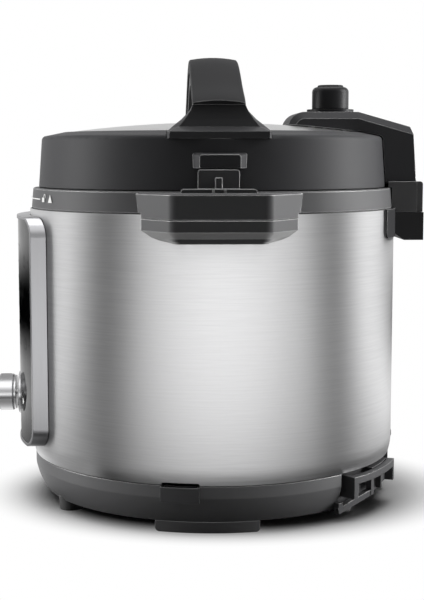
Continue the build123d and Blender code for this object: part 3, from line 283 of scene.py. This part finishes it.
def glassFace(bench, look):
    wipe = bench.streaks(bench.place(), look["wipe"], look["detail"])
    smear = bench.ease(wipe, *look["smeared"]) * look["smear"]
    deep = bench.node("BsdfDiffuse", {}, {"Color": look["colour"]})
    sheen = bench.node("BsdfAnisotropic", {}, {"Roughness": look["rough"] + smear})
    mirror = bench.node("Fresnel", {}, {"IOR": look["bend"]})
    least, extra = look["patchy"]
    return bench.node("MixShader", {}, {0: mirror * (least + wipe * extra), 1: deep, 2: sheen})


def blackGlass(look):
    material, bench = newFinish(look["name"])
    bench.node("OutputMaterial", {}, {"Surface": glassFace(bench, look)})
    return material


dress(blackGlass, {}, [panelGlass])


# Brushed, pressed and cast metal: streaks along the brushing, or specks where there is none

brushing = {"coarseDetail": (3, 0.6), "fineDetail": (2, 0.7), "shares": (0.6, 0.4), "streaky": (0.3, 0.7),
            "roughBrush": 0.22, "spread": 0.0, "turn": 0.0}
metals = [
    {"name": "drumSteel", "on": ("steel_drum",), "colour": (0.66, 0.66, 0.665, 1), "tones": (0.94, 1.06),
     "coarse": (22, 22, 700), "fine": (40, 40, 2400), "rough": 0.35, "spread": 0.85, "turn": 0.25,
     "depth": 0.10, "edge": 0.0004},
    {"name": "frameAluminium", "on": ("panel_frame",), "colour": (0.36, 0.36, 0.37, 1), "tones": (0.96, 1.04),
     "coarse": (600, 600, 20), "fine": (2200, 2200, 40), "rough": 0.34, "spread": 0.4, "depth": 0.06,
     "edge": 0.0007},
    {"name": "potSteel", "on": ("inner_pot",), "colour": (0.68, 0.68, 0.68, 1), "tones": (0.95, 1.05),
     "coarse": (20, 20, 500), "fine": (30, 30, 1800), "rough": 0.26, "spread": 0.5, "turn": 0.25,
     "depth": 0.06, "edge": 0.0005},
    {"name": "pressedSteel",
     "on": ("pressure_lid", "locking_ring", "retainer_ring", "locking_flange", "vent_pipe", "steam_shield",
            "valve_weight", "float_pin", "hinge_pin", "pot_sensor", "heating_element", "thermal_fuse",
            "sensor_spring", "dial_shaft", "housing_screws", "handle_screws", "arm_screws"),
     "colour": (0.62, 0.62, 0.62, 1), "tones": (0.95, 1.05), "coarse": (90, 90, 90), "fine": (600, 600, 600),
     "rough": 0.30, "depth": 0.05, "edge": 0.0005},
    {"name": "castAluminium", "on": ("liner", "heating_plate"), "colour": (0.58, 0.58, 0.59, 1),
     "tones": (0.92, 1.08), "coarse": (180, 180, 180), "fine": (900, 900, 900), "rough": 0.5, "depth": 0.2,
     "edge": 0.0006},
    {"name": "pinBrass", "on": ("inlet_pins", "hinge_bushes"), "colour": (0.70, 0.52, 0.22, 1),
     "tones": (0.94, 1.06), "coarse": (120, 500, 120), "fine": (400, 1800, 400), "rough": 0.32, "depth": 0.05,
     "edge": 0.0003},
    {"name": "dialChrome", "on": ("dial", "dial_bezel"), "colour": (0.60, 0.60, 0.61, 1),
     "tones": (0.98, 1.02), "coarse": (300, 40, 300), "fine": (1200, 90, 1200), "rough": 0.24, "depth": 0.01,
     "edge": 0.0006},
]


def brushedMetal(look):
    material, bench = newFinish(look["name"])
    spot = bench.place()
    streak = bench.streaks(spot, look["coarse"], *look["coarseDetail"])
    hair = bench.streaks(spot, look["fine"], *look["fineDetail"])
    streakShare, hairShare = look["shares"]
    brush = streak * streakShare + hair * hairShare
    colour = bench.mottle(bench.ease(brush, *look["streaky"]), look)
    rough = look["rough"] + (brush - middle) * look["roughBrush"]
    bench.skin({"Base Color": colour, "Metallic": 1.0, "Roughness": rough,
                "Anisotropic": look["spread"], "Anisotropic Rotation": look["turn"],
                "Normal": bench.bump(brush, look["depth"], bench.rounded(look["edge"]))})
    return material


dress(brushedMetal, brushing, metals)


# Spun steel of the dome: circles round the middle

dome = {"name": "domeSteel", "on": ("lid_dome",), "colour": (0.76, 0.76, 0.76, 1), "tones": (0.93, 1.07),
        "rings": 900, "sweep": 14, "detail": (3, 0.65), "streaky": (0.3, 0.7), "rough": 0.30,
        "roughSpin": 0.2, "depth": 0.08}


def spunDome(look):
    material, bench = newFinish(look["name"])
    x, y = bench.split(bench.place())[:2]
    reach = (x * x + y * y) ** 0.5
    lines = bench.node("CombineXYZ", {}, {0: reach * look["rings"], 1: x * look["sweep"],
                                          2: y * look["sweep"]})
    spin = bench.noise(lines, 1.0, *look["detail"])
    colour = bench.mottle(bench.ease(spin, *look["streaky"]), look)
    bench.skin({"Base Color": colour, "Metallic": 1.0,
                "Roughness": look["rough"] + (spin - middle) * look["roughSpin"],
                "Normal": bench.bump(spin, look["depth"])})
    return material


dress(spunDome, {}, [dome])


# Silicone of the seal and the green boards

seal = {"name": "sealSilicone", "on": ("gasket",), "colour": (0.62, 0.62, 0.60, 1), "tones": (0.9, 1.08),
        "haze": (55, 3), "rough": 0.48, "roughHaze": 0.2, "glow": 0.15, "glowReach": (0.004, 0.004, 0.004),
        "grain": (700, 2), "depth": 0.08}
board = {"name": "boardGreen", "on": ("power_board", "control_board"), "colour": (0.02, 0.12, 0.05, 1),
         "tones": (1, 2.2), "tracks": 220, "trackEdge": (0.30, 0.34), "rough": 0.42, "roughTrack": 0.12,
         "depth": 0.1, "rise": 0.0001}


def softSeal(look):
    material, bench = newFinish(look["name"])
    haze = bench.noise(bench.place(), *look["haze"])
    bench.skin({"Base Color": bench.mottle(haze, look),
                "Roughness": look["rough"] + (haze - middle) * look["roughHaze"],
                "Subsurface Weight": look["glow"], "Subsurface Radius": look["glowReach"],
                "Normal": bench.bump(bench.noise(bench.place(), *look["grain"]), look["depth"])})
    return material


def printedBoard(look):
    material, bench = newFinish(look["name"])
    cell = bench.node("TexVoronoi", {"feature": "F1", "distance": "CHEBYCHEV"},
                      {"Vector": bench.place(), "Scale": look["tracks"]})
    track = bench.ease(cell, *look["trackEdge"])
    bench.skin({"Base Color": bench.mottle(track, look),
                "Roughness": look["rough"] - track * look["roughTrack"],
                "Normal": bench.bump(track, look["depth"], None, look["rise"])})
    return material


dress(softSeal, {}, [seal])
dress(printedBoard, {}, [board])
print("finishes on the moulded and metal pieces")


# Pieces that the side lamps light

mouldedNodes = ("collar", "handle_covers", "sensor_post", "back_plate", "base_shell", "side_pads",
                "spoon_slot", "cord_brackets", "lid_ring", "ring_hood", "handle_grip", "handle_foot_cover",
                "arm_shell", "feet", "rear_bumper", "steam_knob", "valve_seat", "condensate_cup",
                "power_inlet")
moulded = bpy.data.collections.new("moulded")
for nodeName in mouldedNodes:
    moulded.objects.link(nodes[nodeName])


# Inks: plain, etched, and behind the panel's glass, whose gloss covers them at a glancing angle

plainInk = {"detail": 3, "wearAndHighlight": (0.56, 0.72), "tones": (1, 0.6), "roughWorn": 0.2}
paint = {"name": "printedInk", "colour": (0.62, 0.62, 0.61, 1), "fleck": 420, "rough": 0.46}
etching = {"name": "etchedMarks", "colour": (0.20, 0.20, 0.20, 1), "fleck": 500, "rough": 0.62}
glassInk = {"tones": (0.75, 1), "rough": 0.30, "roughFleck": 0.1, "blend": 0.5, "glance": (0.45, 0.72)}
glassPaint = {"name": "underGlassInk", "colour": (0.70, 0.70, 0.70, 1), "fleck": 420, "power": 0.0}
segmentLight = {"name": "segmentLight", "colour": (0.62, 0.80, 0.86, 1), "fleck": 260, "power": 0.5}


def printedInk(look):
    material, bench = newFinish(look["name"])
    wearAndHighlight = bench.ease(bench.noise(bench.place(), look["fleck"], look["detail"]), *look["wearAndHighlight"])
    bench.skin({"Base Color": bench.mottle(wearAndHighlight, look),
                "Roughness": look["rough"] + wearAndHighlight * look["roughWorn"]})
    return material


def underGlass(look):
    material, bench = newFinish(look["name"])
    uneven = bench.noise(bench.place(), look["fleck"])
    tone = bench.mottle(uneven, look)
    rough = look["rough"] + (uneven - middle) * look["roughFleck"]
    ink = bench.node("BsdfPrincipled", {}, {"Base Color": tone, "Emission Color": tone,
                                            "Emission Strength": look["power"], "Roughness": rough})
    glance = bench.ease(bench.node("LayerWeight", {}, {"Blend": look["blend"]}, 1), *look["glance"])
    mixed = bench.node("MixShader", {}, {0: glance, 1: ink, 2: glassFace(bench, panelGlass)})
    bench.node("OutputMaterial", {}, {"Surface": mixed})
    return material


inks = {"white": printedInk({**plainInk, **paint}), "glass": underGlass({**glassInk, **glassPaint}),
        "lit": underGlass({**glassInk, **segmentLight}), "etched": printedInk({**plainInk, **etching})}


# Printed marks: outlines in millimetres, laid on the wall or face that carries them

millimetre = 0.001
longestStep = 3.0
shortestStep = 0.01
discSides = 16
cornerSteps = 6


def walk(*corners):                           # a path with points close enough to follow a curved wall
    path = [corners[0]]
    for (u0, v0), (u1, v1) in zip(corners, corners[1:]):
        steps = max(1, math.ceil(math.hypot(u1 - u0, v1 - v0) / longestStep))
        path += [(u0 + (u1 - u0) * k / steps, v0 + (v1 - v0) * k / steps) for k in range(1, steps + 1)]
    return path


def arc(u, v, radius, start, end, steps=14):
    turns = [math.radians(start + (end - start) * k / steps) for k in range(steps + 1)]
    return [(u + radius * math.cos(turn), v + radius * math.sin(turn)) for turn in turns]


def stroke(path, width):                      # a line of even width as a strip of quads
    points, quads = [], []
    path = [path[0]] + [spot for last, spot in zip(path, path[1:]) if math.dist(spot, last) > shortestStep]
    for k, (u, v) in enumerate(path):
        u0, v0 = path[max(k - 1, 0)]
        u1, v1 = path[min(k + 1, len(path) - 1)]
        along = math.hypot(u1 - u0, v1 - v0)
        du, dv = (u1 - u0) / along * width / 2, (v1 - v0) / along * width / 2
        points += [(u - dv, v + du), (u + dv, v - du)]
        if k:
            quads.append((2 * k - 2, 2 * k - 1, 2 * k + 1, 2 * k))
    return points, quads


def patch(*points):
    return list(points), [tuple(range(len(points)))]


def disc(u, v, radius):
    return patch(*arc(u, v, radius, 0, 360 - 360 / discSides, discSides - 1))


def laid(look, u, v):                         # a point of the print on its wall, or on its flat face
    u, v = u * millimetre, v * millimetre
    if "wall" in look:
        turn = math.radians(look["angle"]) + look.get("hand", 1) * u / look["wall"]
        reach = look["wall"] + look.get("lean", 0) * v
        return reach * math.sin(turn), -reach * math.cos(turn), look["height"] + v
    return tuple(at + u * across + v * up for at, across, up in zip(look["at"], look["across"], look["up"]))


def printMarks(look, shapes):
    points, faces = [], []
    for outline, sides in shapes:
        faces += [tuple(len(points) + k for k in side) for side in sides]
        points += [laid(look, u, v) for u, v in outline]
    mesh = bpy.data.meshes.new(look["name"])
    mesh.from_pydata(points, [], faces)
    mesh.materials.append(inks[look["ink"]])
    piece = bpy.data.objects.new(look["name"], mesh)
    scene.collection.objects.link(piece)
    if look["ink"] == "white":
        moulded.objects.link(piece)
    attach(piece, look["body"])


# Seven-segment numbers: each segment runs between two corners of a grid one wide and two high

segmentRuns = {"a": (0, 2, 1, 2), "b": (1, 2, 1, 1), "c": (1, 1, 1, 0), "d": (0, 0, 1, 0), "e": (0, 0, 0, 1),
               "f": (0, 1, 0, 2), "g": (0, 1, 1, 1)}
segmentsOf = {"0": "abcdef", "1": "bc", "2": "abged", "3": "abgcd", "4": "fgbc", "6": "afgedc",
              "8": "abcdefg"}
digitShape = {"gap": 0.62, "space": 2.2}      # in line widths


def digit(sign, u, v, wide, high, line):
    shapes = []
    gap = line * digitShape["gap"]
    for key in segmentsOf[sign]:
        u0, v0, u1, v1 = segmentRuns[key]
        trimU, trimV = gap * (u1 - u0), gap * (v1 - v0)
        shapes.append(stroke(walk((u + u0 * wide + trimU, v + v0 * high / 2 + trimV),
                                  (u + u1 * wide - trimU, v + v1 * high / 2 - trimV)), line))
    return shapes


def number(text, u, v, wide, high, line):
    pitch = wide + line * digitShape["space"]
    return [shape for k, sign in enumerate(text) for shape in digit(sign, u + k * pitch, v, wide, high, line)]


# Marks on the collar that show where the lid ring is open and where it is shut

collarMarks = {"name": "collarMarks", "body": "housing", "slot": "silicone", "ink": "white", "wall": 0.14185,
               "angle": 26.0, "height": 0.2325, "lean": -0.02, "line": 0.8, "openLock": (-1.6, 0.6),
               "shutLock": (-72.0, 0.6), "lockSize": 4.6, "openLift": 1.0, "arrow": (-8.5, -62.0),
               "arrowHeight": 2.6, "arrowHead": 1.6, "ringSpot": ((7.6, 0.4), (14.2, 0.4), (10.9, 6.4))}
lockShape = {"body": 0.72, "bow": 0.3, "line": 0.15, "steps": 10}      # in lock widths
headLength = 1.6                              # an arrow head's length in half widths


def padlock(u, v, size, lift):                # lift raises and turns out the shackle of an open lock
    wide, bow = size / 2, size * lockShape["bow"]
    side = bow * 2 if lift else 0
    top = v + size * lockShape["body"]
    bent = arc(u + side, top + lift, bow, 0, 180, lockShape["steps"])
    return [patch((u - wide, v), (u + wide, v), (u + wide, top), (u - wide, top)),
            stroke([(u + side + bow, top)] + bent + [(u + side - bow, top)], size * lockShape["line"])]


def arrow(start, end, v, line, head):
    way = 1 if end > start else -1
    neck = end - way * head * headLength
    return [stroke(walk((start, v), (neck, v)), line), patch((neck, v - head), (end, v), (neck, v + head))]


def lockMarks(look):
    shapes = padlock(*look["openLock"], look["lockSize"], look["openLift"])
    shapes += padlock(*look["shutLock"], look["lockSize"], 0)
    shapes += arrow(*look["arrow"], look["arrowHeight"], look["line"], look["arrowHead"])
    printMarks(look, shapes + [patch(*look["ringSpot"])])


lockMarks(collarMarks)


# Front panel: window line, clock digits, cooking signs with a lamp each, and ticks round the dial

panelPrint = {"name": "panelPrint", "body": "housing", "slot": "silicone", "ink": "glass", "wall": 0.15282,
              "angle": 0.0, "height": 0.0, "line": 0.7, "column": 51.0, "rows": (188.0, 167.0, 146.0, 125.0),
              "left": ("grains", "bowl", "steam", "potLid"), "right": ("drop", "leaf", "flame", "clock"),
              "lampAside": 10.0, "lampRadius": 0.9, "window": (37.0, (122.0, 199.0), 6.0), "windowLine": 0.7,
              "dialHeight": 79.5, "tickTurns": (-45, 226, 15), "longTurn": 45, "tickFoot": 20.6,
              "tickTops": (22.6, 24.0), "minus": ((-23.4, 60.6), (-18.6, 60.6)),
              "plus": ((18.6, 60.6), (23.4, 60.6)), "plusUp": ((21.0, 58.2), (21.0, 63.0))}
panelDigits = {"name": "panelDigits", "body": "housing", "slot": "display_glass", "ink": "lit",
               "wall": 0.15282, "angle": 0.0, "height": 0.0, "line": 2.2,
               "pairs": (("02", -29.0), ("30", 5.0)), "foot": 152.0, "digitSize": (9.4, 22.0),
               "colon": ((0.0, 159.0), (0.0, 167.0)), "colonRadius": 1.3,
               "bars": ({"from": -26.0, "pitch": 11.0, "long": 8.0, "at": 138.0, "line": 2.4, "count": 5},
                        {"from": -21.0, "pitch": 9.0, "long": 6.0, "at": 186.0, "line": 1.2, "count": 5})}
steamWave = {"points": 10, "bend": 2.0, "sway": 0.8, "rise": 0.75, "foot": -3.4}


def wave(aside, look):
    return [(math.sin(k / look["bend"]) * look["sway"] + aside, k * look["rise"] + look["foot"])
            for k in range(look["points"])]


signs = {                                     # lines, and dots with their radius, round each sign's middle
    "grains": {"dots": ((-3, -2.4, 1.3), (0, -2.8, 1.3), (3, -2.4, 1.3), (-1.5, 0, 1.3), (1.5, 0, 1.3),
                        (0, 2.6, 1.3))},
    "bowl": {"lines": (arc(0, 1, 4.6, 180, 360), walk((-5.6, 1), (5.6, 1)), walk((-2, -4.4), (2, -4.4)))},
    "steam": {"lines": [wave(aside, steamWave) for aside in (-3.0, 0.0, 3.0)]},
    "potLid": {"lines": (walk((-4.4, 0.6), (-4.4, -4), (4.4, -4), (4.4, 0.6)), arc(0, 1.4, 5.0, 12, 168)),
               "dots": ((0, 5.9, 0.9),)},
    "drop": {"lines": ([(0, 4.8)] + arc(0, -1.4, 3.2, 35, -215, 18) + [(0, 4.8)],)},
    "leaf": {"lines": (arc(-2.6, -2.6, 6.4, 0, 90), arc(3.8, 3.8, 6.4, 180, 270),
                       walk((-3.4, -3.4), (1.6, 1.6)))},
    "flame": {"lines": ([(0, 5.2), (2.2, 2.0), (3.4, -1.0), (2.4, -3.8), (0, -4.8), (-2.4, -3.8),
                         (-3.4, -1.0), (-1.6, 1.0), (0, 5.2)],)},
    "clock": {"lines": (arc(0, 0, 4.4, 0, 360, 24), walk((0, 2.8), (0, 0), (2.2, 0)))},
}


def drawSign(sign, u, v, line):
    shapes = [stroke([(u + du, v + dv) for du, dv in path], line) for path in sign.get("lines", ())]
    return shapes + [disc(u + du, v + dv, radius) for du, dv, radius in sign.get("dots", ())]


def roundedBox(half, heights, corner):
    low, high = heights
    inner = half - corner
    path = arc(inner, high - corner, corner, 0, 90, cornerSteps) + walk((inner, high), (-inner, high))
    path += arc(-inner, high - corner, corner, 90, 180, cornerSteps)
    path += walk((-half, high - corner), (-half, low + corner))
    path += arc(-inner, low + corner, corner, 180, 270, cornerSteps) + walk((-inner, low), (inner, low))
    path += arc(inner, low + corner, corner, 270, 360, cornerSteps)
    return path + walk((half, low + corner), (half, high - corner))


def panelSymbols(look):
    line = look["line"]
    shapes = [stroke(roundedBox(*look["window"]), line * look["windowLine"])]
    for names, side in ((look["left"], -1), (look["right"], 1)):
        for name, v in zip(names, look["rows"]):
            shapes += drawSign(signs[name], side * look["column"], v, line)
            shapes += [disc(side * (look["column"] + look["lampAside"]), v, look["lampRadius"])]
    for degrees in range(*look["tickTurns"]):
        turn = math.radians(degrees)
        ends = (look["tickFoot"], look["tickTops"][degrees % look["longTurn"] == 0])
        shapes += [stroke([(reach * math.cos(turn), look["dialHeight"] + reach * math.sin(turn))
                           for reach in ends], line)]
    shapes += [stroke(walk(*look["minus"]), line)]
    shapes += [stroke(walk(*look["plus"]), line), stroke(look["plusUp"], line)]
    printMarks(look, shapes)


def clockDigits(look):
    shapes = []
    for text, u in look["pairs"]:
        shapes += number(text, u, look["foot"], *look["digitSize"], look["line"])
    shapes += [disc(u, v, look["colonRadius"]) for u, v in look["colon"]]
    for row in look["bars"]:
        starts = [row["from"] + k * row["pitch"] for k in range(row["count"])]
        shapes += [stroke(walk((u, row["at"]), (u + row["long"], row["at"])), row["line"]) for u in starts]
    printMarks(look, shapes)


panelSymbols(panelPrint)
clockDigits(panelDigits)

buttonPrint = {"reach": 0.15290, "angle": 15.5, "height": 0.0795, "line": 0.9,
               "play": ((-2.2, -3.4), (3.8, 0.0), (-2.2, 3.4)),
               "cross": (((-2.8, -2.8), (2.8, 2.8)), ((-2.8, 2.8), (2.8, -2.8)))}


def buttonMark(look, body, side, shapes):
    turn = math.radians(look["angle"] * side)
    out = Vector((math.sin(turn), -math.cos(turn), 0))
    printMarks({"name": body + "Mark", "body": body, "slot": "silicone", "ink": "white",
                "at": out * look["reach"] + Vector((0, 0, look["height"])), "across": (-out.y, out.x, 0),
                "up": (0, 0, 1)}, shapes)


play = [patch(*buttonPrint["play"])]
cross = [stroke(path, buttonPrint["line"]) for path in buttonPrint["cross"]]
buttonMark(buttonPrint, "start_button", 1, play)
buttonMark(buttonPrint, "cancel_button", -1, cross)


# Dial pointer, steam knob pointer and the vent marks beside it

dialPointer = {"name": "dialPointer", "body": "dial", "slot": "gloss_black", "ink": "etched",
               "at": (0.0, -0.1645, 0.09412), "across": (1, 0, 0), "up": (0, 1, 0),
               "path": ((0.0, -4.2), (0.0, 4.2)), "line": 1.4}
knobPointer = {"name": "knobPointer", "body": "steam_knob", "slot": "silicone", "ink": "white",
               "at": (0.0, 0.0934, 0.32262), "across": (1, 0, 0), "up": (0, 1, 0),
               "path": ((0.0, -8.2), (0.0, -2.6)), "line": 1.3}
ventMarks = {"name": "ventMarks", "body": "lid", "slot": "silicone", "ink": "white",
             "at": (0.0, 0.0934, 0.30112), "across": (1, 0, 0), "up": (0, 1, 0), "line": 0.8,
             "sweep": (0, 0, 18.4, -84, -36, 10), "shut": ((-0.6, -17.2), (-0.6, -20.6)),
             "shutDot": (0.0, -18.4, 1.5), "puff": ((-2, 0), (-1, 1.1), (0, 0), (1, -1.1), (2, 0)),
             "puffs": ((20.4, -11.6), (20.4, -14.2))}


def knobRange(look):
    line = look["line"]
    shapes = [stroke(arc(*look["sweep"]), line)]
    shapes += [stroke(look["shut"], line), disc(*look["shutDot"])]
    shapes += [stroke([(u + du, v + dv) for du, dv in look["puff"]], line) for u, v in look["puffs"]]
    printMarks(look, shapes)


for pointer in (dialPointer, knobPointer):
    printMarks(pointer, [stroke(pointer["path"], pointer["line"])])
knobRange(ventMarks)


# Level lines and numbers etched on the wall of the inner pot

potLevels = {"name": "potLevels", "body": "housing", "slot": "bright_steel", "ink": "etched", "wall": 0.10988,
             "angle": 180.0, "height": 0.0, "hand": -1, "line": 0.8, "first": 96.0, "pitch": 26.0,
             "levels": ("2", "4", "6", "8", "10"), "half": 16.0, "shortHalf": 9.0, "shortLine": 0.8,
             "textAside": 19.0, "textDrop": 2.6, "digitSize": (3.0, 5.6)}


def levelLines(look):
    shapes = []
    for k, text in enumerate(look["levels"]):
        v = look["first"] + k * look["pitch"]
        between = v - look["pitch"] / 2
        shapes += [stroke(walk((-look["half"], v), (look["half"], v)), look["line"])]
        shapes += [stroke(walk((-look["shortHalf"], between), (look["shortHalf"], between)),
                          look["line"] * look["shortLine"])]
        shapes += number(text, look["textAside"], v - look["textDrop"], *look["digitSize"], look["line"])
    printMarks(look, shapes)


levelLines(potLevels)


# The sensor's spring, copied as a piece of its own on the housing. The real spring shortens as the sensor
# goes down; this copy keeps its shape

coil = {"name": "sensorCoil", "foot": (0, 0, 0.050), "keep": 0.74}
spring = bpy.data.objects.new(coil["name"], nodes["sensor_spring"].data.copy())
scene.collection.objects.link(spring)
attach(spring, "housing")
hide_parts("sensor_spring")
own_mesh(spring)
print("marks printed on the collar, panel, lid and pot")


# Camera, placed as for the photograph

view = {"spot": (1.044, -0.042, 0.269), "turn": 87.7, "down": 6.36, "lens": 78.83, "sensor": 36,
        "clip": (0.05, 60)}
camera = bpy.data.objects.new("camera", bpy.data.cameras.new("camera"))
camera.location = view["spot"]
camera.rotation_euler = (math.radians(90 - view["down"]), 0, math.radians(view["turn"]))
camera.data.lens = view["lens"]
camera.data.sensor_width = view["sensor"]
camera.data.clip_start, camera.data.clip_end = view["clip"]
scene.collection.objects.link(camera)
scene.camera = camera


# Soft boxes: one overhead for all but the polished pieces, and one on each side for the moulded pieces

lamps = {
    "overhead": {"at": (-0.20, 0.0, 1.35), "size": (1.2, 1.2), "power": 15, "on": "unpolished"},
    "leftPanel": {"at": (-0.02, -1.20, 0.42), "size": (0.6, 1.2), "power": 24, "on": "moulded"},
    "rightPanel": {"at": (0.04, 1.20, 0.42), "size": (0.6, 1.2), "power": 36, "on": "moulded"},
}
polishedNodes = ("lid_dome", "inner_pot", "dial", "dial_bezel")
aimPoint = Vector((0, 0, 0.17))
unpolished = bpy.data.collections.new("unpolished")
for nodeName in polishedNodes:
    unpolished.objects.link(nodes[nodeName])
for member in unpolished.collection_objects:
    member.light_linking.link_state = "EXCLUDE"


def softBox(name, lamp):
    light = bpy.data.lights.new(name, "AREA")
    light.shape = "RECTANGLE"
    light.size, light.size_y = lamp["size"]
    light.energy = lamp["power"]
    box = bpy.data.objects.new(name, light)
    box.location = lamp["at"]
    box.rotation_euler = (aimPoint - box.location).to_track_quat("-Z", "Y").to_euler()
    scene.collection.objects.link(box)
    box.light_linking.receiver_collection = bpy.data.collections[lamp["on"]]


for lampName, lamp in lamps.items():
    softBox(lampName, lamp)


# White surroundings. Shiny pieces see a tent that is light in front and behind, with a dark gap on each side

studio = {"fill": 0.03, "front": (0.998, 0.061, 0), "ahead": (-0.1, 0.3), "gain": 2.1, "horizon": 0.35,
          "rise": (0.30, 0.75), "roof": (0.20, 0.55), "dusk": 0.56, "right": 0.34, "side": (0.6, 1.0),
          "round": [(0.0, 0.40), (0.25, 0.62), (0.36, 0.55), (0.545, 0.25), (0.64, 0.16), (0.70, 0.17),
                    (0.774, 0.29), (0.85, 0.55), (1.0, 0.96)]}


def tentRound(bench, way, look):              # brightness by the direction round the cooker
    flat = bench.node("VectorMath", {"operation": "NORMALIZE"}, {0: bench.stretch(way, (1, 1, 0))})
    facing = bench.node("VectorMath", {"operation": "DOT_PRODUCT"}, {0: flat, 1: look["front"]}, 1)
    band = bench.node("ValToRGB", {"stops": look["round"]}, {0: facing * 0.5 + 0.5})
    right = 1 + bench.ease(bench.split(flat)[1], *look["side"]) * look["right"]
    return band * right * look["gain"], facing


def rays(bench):
    seen = bench.node("LightPath", out="Is Camera Ray")
    shiny = bench.node("LightPath", out="Is Glossy Ray") + bench.node("LightPath", out="Is Transmission Ray")
    return seen, shiny


def lightTent(look):
    world = bpy.data.worlds.new("studio")
    scene.world = world
    world.use_nodes = True
    bench = Bench(world.node_tree)
    seen, shiny = rays(bench)
    way = bench.node("TexCoord", out=0)
    band, facing = tentRound(bench, way, look)
    height = bench.split(way)[2]
    lifted = bench.ease(height, *look["rise"])
    ahead = bench.ease(facing, *look["ahead"])
    low = 1 - ahead * (1 - lifted) * (1 - look["horizon"])
    high = 1 - (1 - ahead) * bench.ease(height, *look["roof"]) * (1 - look["dusk"])
    mirrored = band * low * high
    level = seen + (1 - seen) * (shiny * mirrored + (1 - shiny) * look["fill"])
    glow = bench.node("Background", {}, {"Color": level})
    bench.node("OutputWorld", {}, {"Surface": glow})


lightTent(studio)


# Floor: keeps the shadow round the feet and turns plain white further out. Shiny pieces see a painted shadow
# on it near the cooker, left out in a strip under the panel, then light far out, and a painted dark band
# behind

ground = {"size": 6.0, "near": grey(0.88), "far": grey(0.12), "spread": (0.30, 0.50), "keep": (0.135, 0.20),
          "squeeze": 1.18, "lean": 0.012, "glow": (0.15, 0.55), "stripNear": (0.125, 0.155),
          "stripFar": (0.19, 0.24), "stripSide": (0.10, 0.14), "darkBandNear": (0.55, 1.15),
          "darkBandFar": (1.6, 3.2), "darkBandBack": (0.2, 0.5)}


def paleFloor(look):
    mesh = bpy.data.meshes.new("floor")
    half = look["size"] / 2
    corners = [(-half, -half, 0), (half, -half, 0), (half, half, 0), (-half, half, 0)]
    mesh.from_pydata(corners, [], [(0, 1, 2, 3)])
    floor = bpy.data.objects.new("floor", mesh)
    scene.collection.objects.link(floor)
    material, bench = newFinish("floorPaper")
    spot = bench.place()
    x, y = bench.split(spot)[:2]
    reach = (x * x + y * y) ** 0.5
    wide = x * look["squeeze"]
    across = y - look["lean"]
    far = bench.ease((wide * wide + across * across) ** 0.5, *look["keep"])
    seen, shiny = rays(bench)
    band = tentRound(bench, spot, studio)[0]
    dim = bench.ease(reach, *look["spread"]) * (1 - seen)
    paper = bench.node("BsdfDiffuse", {}, {"Color": bench.tint(dim, look["near"], look["far"])})
    # strip under the panel where the painted shadow in reflections is left out
    strip = bench.ease(0 - y, *look["stripNear"]) * (1 - bench.ease(0 - y, *look["stripFar"]))
    strip = strip * (1 - bench.ease((x * x) ** 0.5, *look["stripSide"]))
    # painted shadow in reflections: for shiny rays the floor glows dark near the cooker, light far out
    lit = 1 - (1 - bench.ease(reach, *look["glow"])) * (1 - strip)
    # painted dark band behind the cooker, seen only in reflections
    darkBand = bench.ease(reach, *look["darkBandNear"]) * (1 - bench.ease(reach, *look["darkBandFar"]))
    darkBand = darkBand * bench.ease(0 - x, *look["darkBandBack"])
    white = bench.node("Emission", {}, {"Color": seen + shiny * band * lit * (1 - darkBand)})
    mixed = bench.node("MixShader", {}, {0: far * seen + shiny, 1: paper, 2: white})
    bench.node("OutputMaterial", {}, {"Surface": mixed})
    mesh.materials.append(material)


paleFloor(ground)
print("camera, lamps and floor set")
